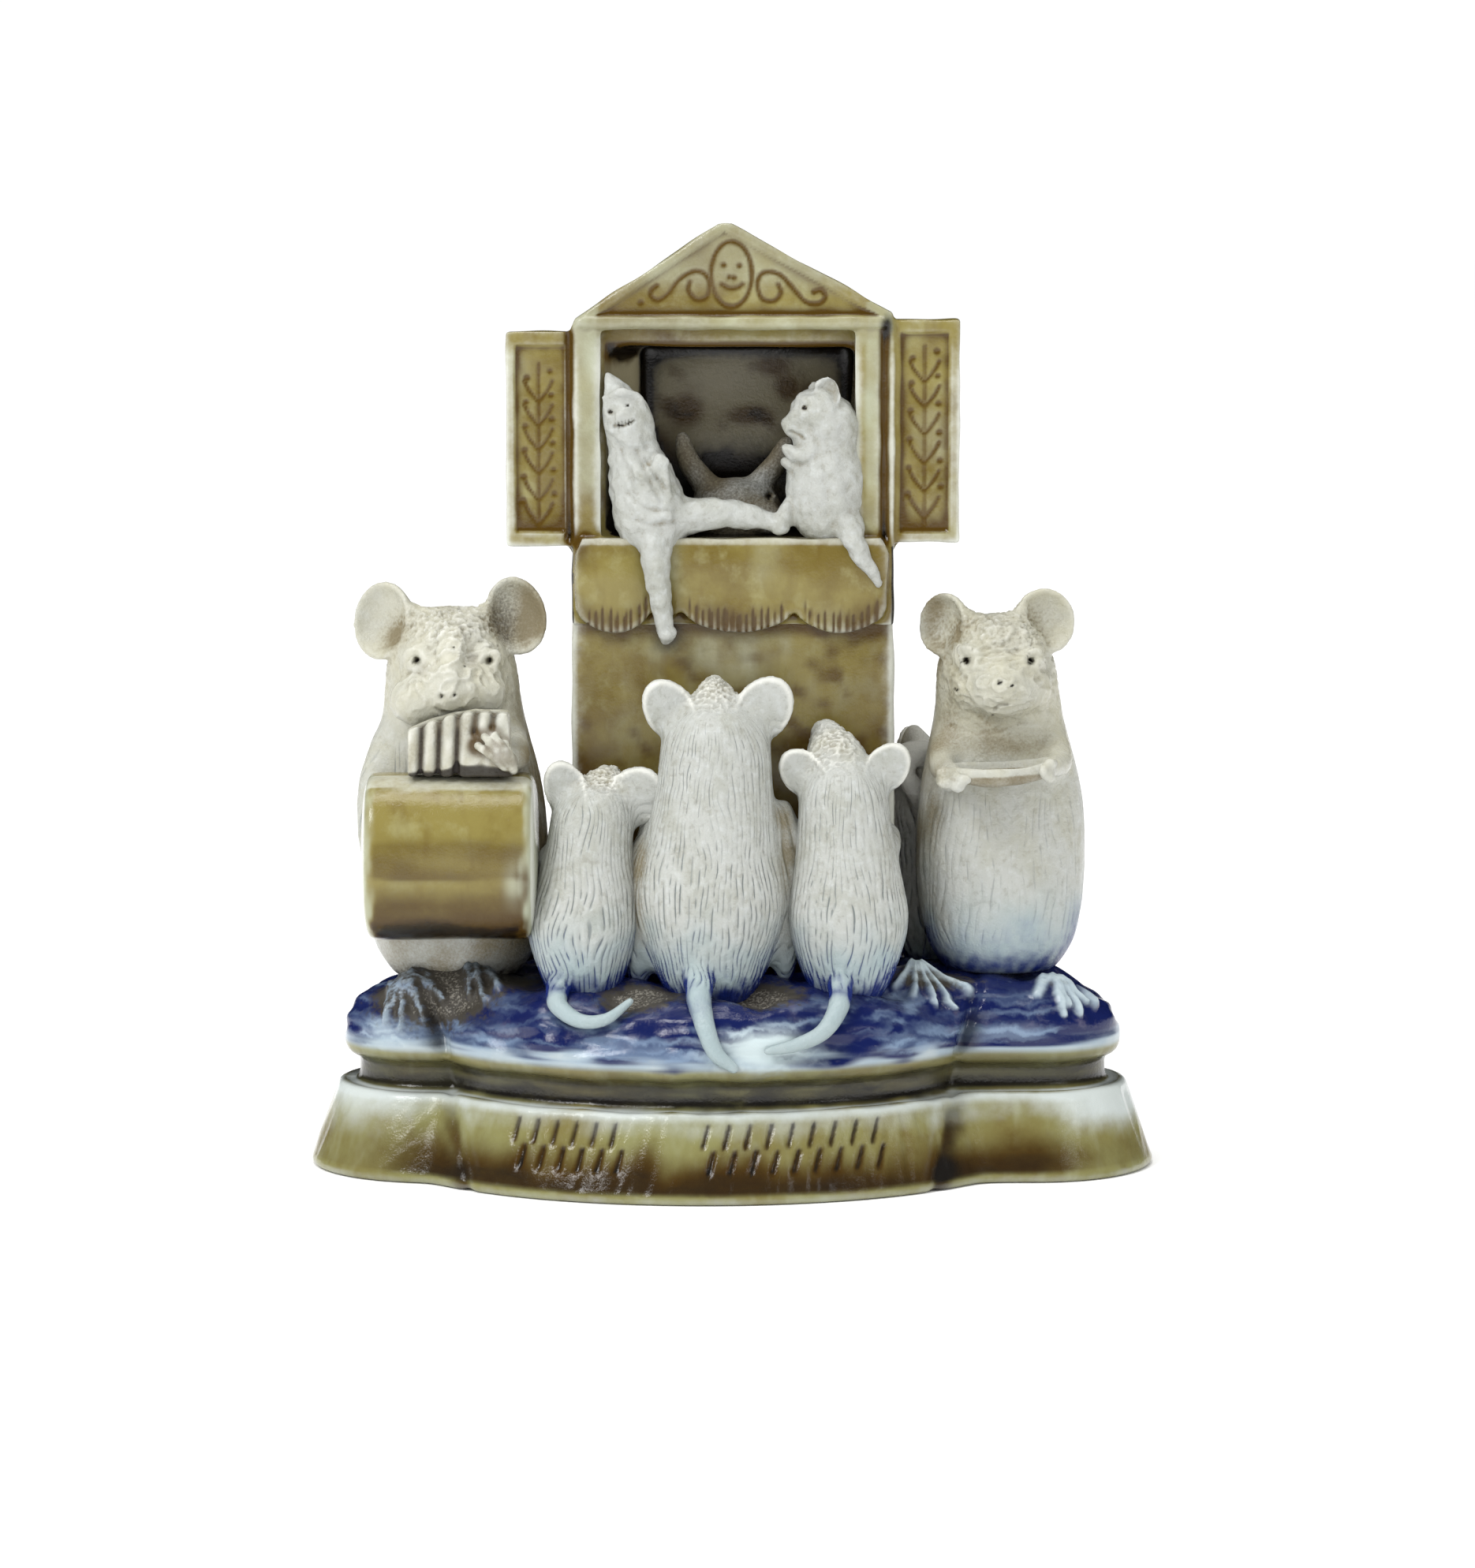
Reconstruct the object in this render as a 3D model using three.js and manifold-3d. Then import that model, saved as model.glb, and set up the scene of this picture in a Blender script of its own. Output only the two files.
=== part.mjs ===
// Stoneware figure group: five mice and a puppet booth on a lobed plinth, with two puppets on the stage,
// the showman's head behind them and a sixth small mouse beside the booth. It is modelled by hand and
// fired as one piece. Millimetres, +Z up, the origin at the middle of the underside, the front towards -Y.
import * as THREE from 'three';
import { mergeVertices } from 'three/addons/utils/BufferGeometryUtils.js';
import Module from 'manifold-3d';

const wasm = await Module();
wasm.setup();

// Plinth: a wide oval crossed by a bar with round ends, sloping in to its top edge
const PLINTH = {
  halfWidth: 60.8, barHalfDepth: 17.6, ovalHalfWidth: 45.7, ovalHalfDepth: 34, ovalShift: -4,
  height: 12.3, taper: 4.1, grooveInset: 6.9, notchSharpness: 26,
};

// Ground: a fat cushion of clay over a groove, from its lower lip up to its top
const GROUND = { inset: 4.7, lip: 16.6, widest: 19.6, top: 28.4, shoulder: 0.7, roundness: 2.1 };

// Puppet booth: a gabled box, its stage, pelmet, side boards, cloth front and mouldings
const BOOTH = {
  left: -22.9, right: 23, front: -3.5, back: 20.5, flare: 0.9,
  leftEaves: 121.5, rightEaves: 122.4, apex: 135, apexX: -1.1,
};
const STAGE = { left: -18.7, right: 17.4, sill: 90.6, top: 119.9, back: 17.2, jambDepth: 8.2, jambReach: 5.4 };
const PELMET = { back: -0.6, drop: 2.6 };
const BOARD = { reach: 9.3, front: -2.8, back: 2.4, leftEnds: [89.1, 119.7], rightEnds: [89.7, 121.4] };
const BOARD_FIELD = { border: 1.7, sunk: 0.6, bracket: 3.6 };
const CLOTH = { front: -5.2, top: 90.4, cusp: 80.6, drop: 3.6, joints: [-22.3, -11.5, -7.2, 8.8, 21.9] };
const CORNICE = { bottom: 120.3, top: 122, stand: 0.7 };
const FIELDS = { slopeEdge: 5.4, peakEdge: 3.4, plainEdge: 6, depth: 0.7 };

// Bodies are rings up an axis. A row holds shares of the height, the half-width, the half-depth and the lean.
const GROWN_ROWS = [
  [0, 0.66, 0.7, 0], [0.1, 0.9, 0.92, 0], [0.28, 1, 1, 0], [0.5, 0.96, 0.95, 0],
  [0.72, 0.73, 0.78, 0.5], [0.86, 0.63, 0.72, 0.9], [0.95, 0.5, 0.58, 1], [0.99, 0.3, 0.34, 1],
];
const YOUNG_ROWS = [
  [0, 0.5, 0.54, 0], [0.12, 0.76, 0.8, 0], [0.34, 1, 1, 0],
  [0.53, 0.91, 0.92, 0.3], [0.72, 0.79, 0.82, 0.7], [0.88, 0.72, 0.76, 1], [0.97, 0.5, 0.56, 1.2],
];

// The grown mouse on the left plays pan pipes and a drum
const DRUMMER = {
  seat: [-39.8, 0.6, 27], height: 53.4, halfWidth: 13.3, halfDepth: 11, lean: [-0.4, -1.6],
  ears: [
    { at: [-48.8, -1.8, 78.6], facing: [-0.55, -1, 0.1], size: [4.9, 2.4, 5.5], roll: -10 },
    { at: [-31.4, -1.8, 79.2], facing: [0.2, -1, 0.05], size: [4.6, 2.6, 5.6], roll: 12 },
  ],
  eyes: [[-45.2, -8, 72.9], [-35.2, -8, 73.6]],
  muzzle: { at: [-40.2, -8.2, 70], size: [5.6, 6.4, 4.6], tip: 14 },
  arms: [
    { path: [[-48.4, -2, 61], [-51.6, -5, 54], [-51.6, -12, 46]], radii: [3.4, 2.6, 1.7] },
    { path: [[-31.8, -4, 62.4], [-30.8, -11, 60], [-33.6, -16.4, 61.4]], radii: [2.6, 2.2, 2] },
  ],
  feet: [
    { heel: [-47, -7.6], heading: -20, spread: 84, length: 5.2 },
    { heel: [-37.2, -8.8], heading: 6, spread: 80, length: 4.4 },
  ],
  tail: {
    path: [[-34, 9, 29], [-30, 15.5, 28.6], [-38, 15.5, 27.2], [-47, 11.5, 25.6]],
    radii: [1.9, 1.6, 1.2, 0.7],
  },
};
const DRUM = { at: [-39.6, -11.6, 46.9], radius: 11, halfLength: 11.6, rim: 1.2 };
const PIPES = { left: -45.2, right: -31.2, low: 59.4, high: 65, step: 1.6, front: -17.2, back: -12.5 };
const PIPE_COUNT = 6;

// The grown mouse on the right holds out a shallow collecting dish
const COLLECTOR = {
  seat: [38.6, 0.8, 28], height: 52.6, halfWidth: 12.2, halfDepth: 10.8, lean: [-0.9, -1.6],
  ears: [
    { at: [31.0, -1.6, 77.9], facing: [-0.7, -1, 0.1], size: [4.1, 2.4, 4.8], roll: -14 },
    { at: [44.4, -1.6, 78.4], facing: [0.25, -1, 0.1], size: [4.5, 2.4, 4.8], roll: 10 },
  ],
  eyes: [[33.5, -7.6, 73], [42.8, -7.6, 73]],
  muzzle: { at: [38.2, -8, 70], size: [5.4, 6.4, 4.6], tip: 12 },
  arms: [
    { path: [[29.8, -4, 58.8], [28.6, -9, 56.6], [30.8, -14.4, 57.8]], radii: [2.8, 2.4, 1.9] },
    { path: [[46.6, -4, 59], [47.6, -9, 57], [45, -14.4, 58.2]], radii: [2.8, 2.4, 1.8] },
  ],
  feet: [
    { heel: [30.4, -7.8], heading: 10, spread: 84, length: 4.6 },
    { heel: [46.2, -7.4], heading: 26, spread: 84, length: 5.6 },
  ],
  tail: {
    path: [[34, 9.5, 30], [38, 15, 27], [46, 12.4, 26.4], [53.6, 6.6, 24.6]],
    radii: [1.9, 1.6, 1.2, 0.7],
  },
};
const DISH = { at: [38, -14.2, 58.4], halfWidth: 7.6, halfDepth: 5.4, wall: 1.1, height: 3.2 };

// The three in front have their backs to us and their snouts lifted to the stage
const WATCHERS = [
  {
    seat: [-21.1, -14.2, 25.2], height: 31, halfWidth: 7.9, halfDepth: 7.4, lean: [1.3, 2.2],
    snout: { path: [[-20, -12, 52], [-18.6, -8.8, 54.8], [-17.2, -6.4, 57]], radii: [4.4, 3.4, 1.7] },
    ears: [
      { at: [-23.4, -12.2, 55.2], facing: [-0.3, 1, 0.2], size: [2.9, 1.8, 4.6], roll: -20 },
      { at: [-14.0, -12.2, 54.2], facing: [0.35, 1, 0.2], size: [3.9, 1.8, 5], roll: 42 },
    ],
    arms: [{ path: [[-26, -11, 45], [-25.4, -5.6, 46], [-21.6, -3.6, 47.5]], radii: [2, 1.7, 1.3] }],
    tail: {
      path: [[-24.4, -19.4, 28.6], [-23.4, -23.8, 25.8], [-19, -25.4, 24.2], [-13.6, -24.2, 26.2]],
      radii: [1.9, 1.5, 1.3, 0.7],
    },
  },
  {
    seat: [-3, -14.6, 25.2], height: 42.4, halfWidth: 10.6, halfDepth: 9.2, lean: [0.7, 2.2],
    snout: { path: [[-2.6, -12.4, 62.6], [-2.4, -9.4, 66.6], [-2.6, -7, 69.6]], radii: [5.4, 4.4, 1.9] },
    ears: [
      { at: [-8.6, -12.2, 66.4], facing: [-0.2, 1, 0.2], size: [3.5, 1.8, 5.2], roll: -32 },
      { at: [4.2, -12.2, 66.6], facing: [0.2, 1, 0.2], size: [3.9, 1.8, 5.4], roll: 34 },
    ],
    arms: [
      { path: [[-11, -10, 50], [-9.4, -5.8, 53], [-7.4, -3.8, 56]], radii: [2.4, 2, 1.5] },
      { path: [[4.6, -11.4, 50], [8.2, -10.2, 48.6], [11.6, -11, 47]], radii: [2.6, 2.4, 2.4] },
    ],
    tail: {
      path: [[-3.4, -21.6, 29.6], [-3.4, -25.4, 26.2], [-2.4, -27.8, 22.6], [-0.4, -28.8, 19]],
      radii: [2.3, 1.9, 1.6, 1],
    },
  },
  {
    seat: [16.4, -14, 25.2], height: 34.4, halfWidth: 8.6, halfDepth: 7.8, lean: [-0.7, 2.2],
    snout: { path: [[15.8, -12, 54.6], [14.6, -9.2, 59.4], [13.3, -7, 62.8]], radii: [5, 4.5, 2.5] },
    ears: [
      { at: [10.2, -12, 57.6], facing: [-0.15, 1, 0.2], size: [3, 1.6, 4.2], roll: -42 },
      { at: [21.6, -12, 58.2], facing: [0.15, 1, 0.2], size: [3, 1.6, 4.4], roll: 36 },
    ],
    arms: [{ path: [[22, -10.6, 47], [22.2, -5.6, 48.5], [19.2, -3.8, 50.5]], radii: [2.1, 1.8, 1.3] }],
    tail: {
      path: [[15.2, -20.8, 29], [14.2, -24.6, 26], [11, -27.2, 22.8], [5.8, -28.6, 21.2]],
      radii: [1.9, 1.6, 1.3, 0.9],
    },
  },
];

// The small one beside the booth leans on its wall
const PEEPER = {
  seat: [29, 14.6, 25.5], height: 32, halfWidth: 6.6, halfDepth: 6.2, lean: [-1.4, -0.6],
  snout: { path: [[28, 13.4, 54], [27.2, 12.4, 57.4], [26.4, 11.6, 60.6]], radii: [4.6, 3.6, 2] },
  ears: [
    { at: [31.4, 11.6, 57.8], facing: [1, 0.3, 0.3], size: [2.6, 1.5, 3.6], roll: 10 },
    { at: [25.6, 17.2, 57.8], facing: [-1, 0.6, 0.3], size: [2.6, 1.5, 3.6], roll: -10 },
  ],
  arms: [{ path: [[28.6, 9.6, 50], [26.6, 7, 53], [24.8, 6.2, 55.4]], radii: [2.3, 1.9, 1.6] }],
  tail: { path: [[30, 19.4, 28.2], [26, 23.6, 25.4], [18, 25, 26]], radii: [1.7, 1.3, 0.7] },
};

// Glove puppets on the ledge: one in a pointed cap, with one leg along the ledge and one over it, and a mouse
const CAPPED_PUPPET = {
  body: { path: [[-11.4, -2.4, 93.4], [-12.8, -2.2, 98.4], [-14.4, -2.2, 103.8]], radii: [5.6, 4.9, 3.6] },
  hood: { path: [[-14, -2.8, 104.6], [-15.2, -3, 108.6], [-17.6, -2.6, 113.2]], radii: [3.7, 3.8, 1.1] },
  limbs: [
    { path: [[-10, -2.8, 92.8], [-1, -3.4, 94], [7.2, -3.4, 92.2]], radii: [2.8, 2.2, 1.3] },
    { path: [[6.8, -3.6, 92.2], [7.3, -3.6, 93.4], [7.8, -3.6, 94.8]], radii: [1.5, 1.2, 0.9] },
    { path: [[-10.8, -4.6, 92.2], [-10.8, -6.4, 87], [-9.4, -6.4, 76]], radii: [2.6, 2.3, 1.2] },
    { path: [[-15.2, -4.4, 100.4], [-12.6, -6, 99.2], [-9.6, -5.4, 100]], radii: [1.6, 1.4, 1.1] },
  ],
};
const MOUSE_PUPPET = {
  body: { at: [13.2, -2, 98.2], size: [5, 4.4, 8.6] },
  limbs: [
    { path: [[14, -2.2, 106], [11.6, -2.6, 107.8], [8.7, -2.8, 106.4]], radii: [4.5, 3.9, 1.6] },
    { path: [[11.6, -4.4, 102.6], [9.4, -5, 102], [7.9, -4.6, 102]], radii: [1.6, 1.3, 1] },
    { path: [[16.6, -4, 92.4], [17.8, -5.6, 89], [20.8, -5.4, 84.2]], radii: [2.2, 1.6, 0.8] },
  ],
  ears: [
    { at: [13.8, -3.4, 110.6], facing: [-0.5, -1, 0.1], size: [1.8, 1.4, 2.2] },
    { at: [12.2, -0.4, 110.4], facing: [-0.6, 1, 0.1], size: [1.7, 1.4, 2.1] },
  ],
};
const SHOWMAN = {
  head: { at: [0.6, 8.6, 93.2], size: [6.8, 5, 5.2] },
  snout: { path: [[3.6, 6.6, 93.2], [5.4, 4.6, 92.4], [6.6, 3.4, 91.8]], radii: [3.2, 2.4, 1.5] },
  ears: [
    { at: [-5, 9.4, 99], facing: [0.5, -1, 0.2], size: [2.5, 1.9, 5], roll: -22 },
    { at: [6, 9.4, 99], facing: [-0.3, -1, 0.2], size: [2.4, 1.9, 4.8], roll: 22 },
  ],
};

// How finely each kind of form is divided
const SIDES = { base: 52, grown: 16, young: 12, limb: 5, toe: 4, egg: 8, drum: 16 };
const EAR_SIDES = { least: 4, perMillimetre: 1 };
const STEPS = { limb: 3, tail: 4, toe: 1 };
const TOES = { count: 4, start: 1.6, radii: [1, 0.7], rise: [0.7, 0.1] };

const { degToRad, lerp } = THREE.MathUtils;
const V = (x, y, z) => new THREE.Vector3(x, y, z);
const range = (count) => Array.from({ length: count }, (_, i) => i);

// A closed geometry as a solid, with its faces turned outwards
function solidOf(geometry) {
  const bare = geometry.clone();
  bare.deleteAttribute('normal');
  bare.deleteAttribute('uv');
  const merged = mergeVertices(bare, 1e-4);
  const vertProperties = new Float32Array(merged.getAttribute('position').array);
  const triVerts = new Uint32Array(merged.index.array);
  const make = () => new wasm.Manifold(new wasm.Mesh({ numProp: 3, vertProperties, triVerts }));
  const made = make();
  if (made.volume() > 0) return made;
  for (let i = 0; i < triVerts.length; i += 3) {
    [triVerts[i], triVerts[i + 1]] = [triVerts[i + 1], triVerts[i]];
  }
  return make();
}

const joined = (solids) => solids.reduce((all, one) => all.add(one));

// A closed skin over a row of rings, drawn to a point at either end
function skin(first, rings, last) {
  const sides = rings[0].length;
  const points = [first, ...rings.flat(), last];
  const at = (ring, side) => 1 + ring * sides + (side % sides);
  const end = rings.length - 1;
  const index = [];
  for (let side = 0; side < sides; side++) {
    index.push(0, at(0, side + 1), at(0, side));
    for (let ring = 0; ring < end; ring++) {
      index.push(at(ring, side), at(ring, side + 1), at(ring + 1, side + 1));
      index.push(at(ring, side), at(ring + 1, side + 1), at(ring + 1, side));
    }
    index.push(at(end, side), at(end, side + 1), points.length - 1);
  }
  const geometry = new THREE.BufferGeometry().setFromPoints(points);
  geometry.setIndex(index);
  return geometry;
}

// A limb, snout, tail or toe: a tapered round bar along a smooth curve, with domed ends
const DOME = 0.6;
function limb({ path, radii }, steps = STEPS.limb, sides = SIDES.limb) {
  const curve = new THREE.CatmullRomCurve3(path.map((point) => V(...point)));
  const frames = curve.computeFrenetFrames(steps);
  const radiusAt = (t) => {
    const place = t * (radii.length - 1);
    const low = Math.min(Math.floor(place), radii.length - 2);
    return lerp(radii[low], radii[low + 1], place - low);
  };
  const rings = range(steps + 1).map((step) => range(sides).map((side) => {
    const angle = (2 * Math.PI * side) / sides;
    const radius = radiusAt(step / steps);
    return curve.getPointAt(step / steps)
      .addScaledVector(frames.normals[step], radius * Math.cos(angle))
      .addScaledVector(frames.binormals[step], radius * Math.sin(angle));
  }));
  const first = curve.getPointAt(0).addScaledVector(frames.tangents[0], -DOME * radii[0]);
  const last = curve.getPointAt(1).addScaledVector(frames.tangents[steps], DOME * radii[radii.length - 1]);
  return solidOf(skin(first, rings, last));
}

// An egg or ball of three half-axes, tipped forwards about X
function egg({ at, size, tip = 0 }, sides = SIDES.egg, rows = SIDES.limb) {
  const geometry = new THREE.SphereGeometry(1, sides, rows);
  geometry.rotateX(Math.PI / 2);
  geometry.scale(...size);
  geometry.rotateX(degToRad(tip));
  geometry.translate(...at);
  return solidOf(geometry);
}

// An ear: a disc cupped on the side that it faces, given as its radius and its height over the middle
const EAR_PROFILE = [[0, -0.05], [0.55, 0.02], [0.86, 0.42], [1, 0.5], [0.7, -0.4], [0, -0.62]];
function ear({ at, facing, size, roll = 0 }) {
  const profile = EAR_PROFILE.map(([radius, height]) => new THREE.Vector2(radius, height));
  const sides = Math.round(EAR_SIDES.least + EAR_SIDES.perMillimetre * size[0]);
  const geometry = new THREE.LatheGeometry(profile, sides);
  geometry.scale(...size);
  geometry.rotateY(degToRad(roll));
  const front = V(...facing).normalize();
  const side = new THREE.Vector3().crossVectors(front, V(0, 0, 1)).normalize();
  const up = new THREE.Vector3().crossVectors(side, front);
  geometry.applyMatrix4(new THREE.Matrix4().makeBasis(side, front, up).setPosition(...at));
  return solidOf(geometry);
}

// A plate with an outline in the XZ plane, from one depth to another, with a small bevel
function plate(shape, front, back, bevel = 0, curveSegments = 6) {
  const geometry = new THREE.ExtrudeGeometry(shape, {
    depth: back - front - 2 * bevel,
    bevelEnabled: bevel > 0,
    bevelThickness: bevel,
    bevelSize: bevel,
    bevelOffset: -bevel,
    bevelSegments: 1,
    curveSegments,
  });
  geometry.rotateX(Math.PI / 2);
  geometry.translate(0, back - bevel, 0);
  return solidOf(geometry);
}

const outline = (corners) => new THREE.Shape(corners.map(([x, y]) => new THREE.Vector2(x, y)));
const rectangle = (left, right, low, high) => outline([[left, low], [right, low], [right, high], [left, high]]);

// How far an ellipse shifted along X reaches from the origin in a direction
function ovalReach(cosine, sine, halfWidth, halfDepth, shift) {
  const square = (cosine / halfWidth) ** 2 + (sine / halfDepth) ** 2;
  const half = (cosine * shift) / halfWidth ** 2;
  return (half + Math.sqrt(half ** 2 - square * ((shift / halfWidth) ** 2 - 1))) / square;
}

// How far a bar with round ends reaches in a direction
function barReach(cosine, sine, halfWidth, radius) {
  const straight = halfWidth - radius;
  const side = radius / Math.max(Math.abs(sine), 1e-9);
  if (side * Math.abs(cosine) <= straight) return side;
  const along = straight * Math.abs(cosine);
  return along + Math.sqrt(along ** 2 - straight ** 2 + radius ** 2);
}

// The plinth's outline, moved inwards: the further of the two shapes, with the notch between them softened
function reach(angle, inset) {
  const [cosine, sine] = [Math.cos(angle), Math.sin(angle)];
  const { halfWidth, barHalfDepth, ovalHalfWidth, ovalHalfDepth, ovalShift, notchSharpness } = PLINTH;
  const oval = ovalReach(cosine, sine, ovalHalfWidth - inset, ovalHalfDepth - inset, ovalShift);
  const bar = barReach(cosine, sine, halfWidth - inset, barHalfDepth - inset);
  return (oval ** notchSharpness + bar ** notchSharpness) ** (1 / notchSharpness);
}

// The ground's height at a share of the way from its middle to its widest line
function groundProfile(share) {
  const { widest, top, shoulder, roundness } = GROUND;
  const over = THREE.MathUtils.clamp((share - shoulder) / (1 - shoulder), 0, 1);
  return widest + (top - widest) * (1 - over ** roundness) ** (1 / roundness);
}

function groundHeight(x, y) {
  return groundProfile(Math.hypot(x, y) / reach(Math.atan2(y, x), GROUND.inset));
}

// Plinth, groove and ground: each ring of the outline has an inset, a share of the way out and a height.
// The points crowd towards the two far ends, where the outline is furthest from the origin.
const ARRIS = 0.7;
const CROWDING = 0.66;
const GROUND_SHARES = [0.965, 0.88, GROUND.shoulder];
function plinthAndGround() {
  const ring = (inset, share, height) => range(SIDES.base).map((side) => {
    const turn = (2 * Math.PI * side) / SIDES.base;
    const angle = Math.atan2(CROWDING * Math.sin(turn), Math.cos(turn));
    const radius = reach(angle, inset) * share;
    return V(radius * Math.cos(angle), radius * Math.sin(angle), height);
  });
  const { height, taper, grooveInset } = PLINTH;
  const { inset, lip, widest, top } = GROUND;
  const rings = [
    ring(ARRIS, 1, 0),
    ring(0, 1, ARRIS),
    ring(taper - ARRIS / 2, 1, height - ARRIS),
    ring(taper + ARRIS, 1, height),
    ring(grooveInset, 1, height + ARRIS),
    ring(grooveInset, 1, lip - ARRIS),
    ring(inset + ARRIS, 1, lip),
    ring(inset, 1, widest),
    ...GROUND_SHARES.map((share) => ring(inset, share, groundProfile(share))),
  ];
  return solidOf(skin(V(0, 0, 0), rings, V(0, 0, top)));
}

function boothWalls() {
  const { left, right, front, back, flare, leftEaves, rightEaves, apex, apexX } = BOOTH;
  const foot = GROUND.top - 3;
  const waist = STAGE.sill + 6;
  return plate(outline([
    [left - flare, foot], [right + flare, foot], [right, waist], [right - ARRIS, rightEaves],
    [apexX, apex], [left + ARRIS, leftEaves], [left, waist],
  ]), front, back, ARRIS);
}

// The stage: a wide mouth, and behind it a room that is narrower on the left, where a jamb slants in
function stageHollow() {
  const { left, right, sill, top, back, jambDepth, jambReach } = STAGE;
  const jambEnd = BOOTH.front + jambDepth;
  const roomLeft = left + jambReach;
  const mouth = plate(rectangle(left, right, sill, top), BOOTH.front - 5, PELMET.back);
  const plan = outline([
    [left, BOOTH.front - 4], [right, BOOTH.front - 4], [right, back],
    [roomLeft, back], [roomLeft, jambEnd], [left, BOOTH.front],
  ]);
  const room = new THREE.ExtrudeGeometry(plan, { depth: top - PELMET.drop - sill, bevelEnabled: false });
  room.translate(0, 0, sill);
  return mouth.add(solidOf(room));
}

// The sunk fields of the gable in front and of the plain back
function sunkFields() {
  const { left, right, front, back, leftEaves, apex, apexX } = BOOTH;
  const { slopeEdge, peakEdge, plainEdge, depth } = FIELDS;
  const low = CORNICE.top;
  const gable = outline([[left + slopeEdge, low], [right - slopeEdge, low], [apexX, apex - peakEdge]]);
  const rearLow = GROUND.top + 2 * plainEdge;
  const rear = rectangle(left + plainEdge, right - plainEdge, rearLow, leftEaves - plainEdge);
  return plate(gable, front - 2, front + depth).add(plate(rear, back - depth, back + 2));
}

// A side board with a sunk field and a clay bracket below it; side is -1 on the left and 1 on the right
function board(side) {
  const { reach: width, front, back, leftEnds, rightEnds } = BOARD;
  const { border, sunk, bracket } = BOARD_FIELD;
  const wall = side < 0 ? BOOTH.left : BOOTH.right;
  const [low, high] = side < 0 ? leftEnds : rightEnds;
  const area = (near, far, bottom, top) => (side < 0
    ? rectangle(wall - far, wall - near, bottom, top)
    : rectangle(wall + near, wall + far, bottom, top));
  const field = area(border, width - border, low + border, high - border);
  const shelf = outline([
    [wall - side, low + 1], [wall - side, low - bracket],
    [wall + side, low - bracket * 0.7], [wall + side * bracket, low + 1],
  ]);
  return plate(area(-1, width, low, high), front, back, ARRIS)
    .subtract(plate(field, front - 2, front + sunk))
    .add(plate(shelf, front + 3, back + 2));
}

// The cloth front: a plate that ends below in four uneven scallops, the wider the deeper
const SOFT_EDGE = 0.4;
function clothFront() {
  const { joints, top, cusp, drop, front } = CLOTH;
  const [narrowest, widest, narrowShare] = [4.3, 10.8, 0.1];
  const shape = new THREE.Shape();
  shape.moveTo(joints[0], top);
  shape.lineTo(joints[0], cusp);
  for (let i = 1; i < joints.length; i++) {
    const width = joints[i] - joints[i - 1];
    const low = cusp - 2 * drop * Math.min(1, (width - narrowest) / (widest - narrowest) + narrowShare);
    shape.quadraticCurveTo(joints[i] - width / 2, low, joints[i], cusp);
  }
  shape.lineTo(joints[joints.length - 1], top);
  return plate(shape, front, BOOTH.front + 1, SOFT_EDGE, 5);
}

function cornice() {
  const { bottom, top, stand } = CORNICE;
  const strip = rectangle(BOOTH.left + ARRIS, BOOTH.right - ARRIS, bottom, top);
  return plate(strip, BOOTH.front - stand, BOOTH.front + 1, SOFT_EDGE);
}

function booth() {
  return joined([boothWalls(), board(-1), board(1)])
    .subtract(stageHollow())
    .subtract(sunkFields())
    .add(clothFront())
    .add(cornice());
}

// A body: oval rings up a leaning axis, from the seat to the crown
function body({ seat, height, halfWidth, halfDepth, lean }, rows, sides) {
  const [x, y, z] = seat;
  const centre = (share, part) => V(x + lean[0] * part, y + lean[1] * part, z + share * height);
  const rings = rows.map(([share, wide, deep, part]) => range(sides).map((side) => {
    const angle = (2 * Math.PI * side) / sides;
    const out = V(wide * halfWidth * Math.cos(angle), deep * halfDepth * Math.sin(angle), 0);
    return centre(share, part).add(out);
  }));
  const seatDome = -0.02;
  const lastLean = rows[rows.length - 1][3];
  return solidOf(skin(centre(seatDome, 0), rings, centre(1, lastLean)));
}

// A hind foot: splayed toes from one heel, following the ground; heading is in degrees, to the right of -Y
function foot({ heel, heading, spread, length }) {
  return joined(range(TOES.count).map((toe) => {
    const angle = degToRad(heading + spread * (toe / (TOES.count - 1) - 0.5));
    const path = TOES.rise.map((rise, i) => {
      const out = i === 0 ? TOES.start : length;
      const x = heel[0] + out * Math.sin(angle);
      const y = heel[1] - out * Math.cos(angle);
      return [x, y, groundHeight(x, y) + rise];
    });
    return limb({ path, radii: TOES.radii }, STEPS.toe, SIDES.toe);
  }));
}

const EYE_SIZE = [1.6, 1.5, 1.5];
function grownMouse(mouse) {
  return joined([
    body(mouse, GROWN_ROWS, SIDES.grown),
    egg(mouse.muzzle),
    ...mouse.eyes.map((at) => egg({ at, size: EYE_SIZE }, SIDES.limb, SIDES.toe)),
    ...mouse.ears.map(ear),
    ...mouse.arms.map((arm) => limb(arm)),
    ...mouse.feet.map(foot),
    limb(mouse.tail, STEPS.tail),
  ]);
}

function youngMouse(mouse) {
  return joined([
    body(mouse, YOUNG_ROWS, SIDES.young),
    limb(mouse.snout, STEPS.limb, SIDES.egg),
    ...mouse.ears.map(ear),
    ...mouse.arms.map((arm) => limb(arm)),
    limb(mouse.tail, STEPS.tail),
  ]);
}

function drum() {
  const { at, radius, halfLength, rim } = DRUM;
  const profile = [
    [0, -halfLength], [radius - rim, -halfLength], [radius, rim - halfLength],
    [radius, halfLength - rim], [radius - rim, halfLength], [0, halfLength],
  ].map(([r, along]) => new THREE.Vector2(r, along));
  const geometry = new THREE.LatheGeometry(profile, SIDES.drum);
  geometry.rotateZ(Math.PI / 2);
  geometry.translate(...at);
  return solidOf(geometry);
}

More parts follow.
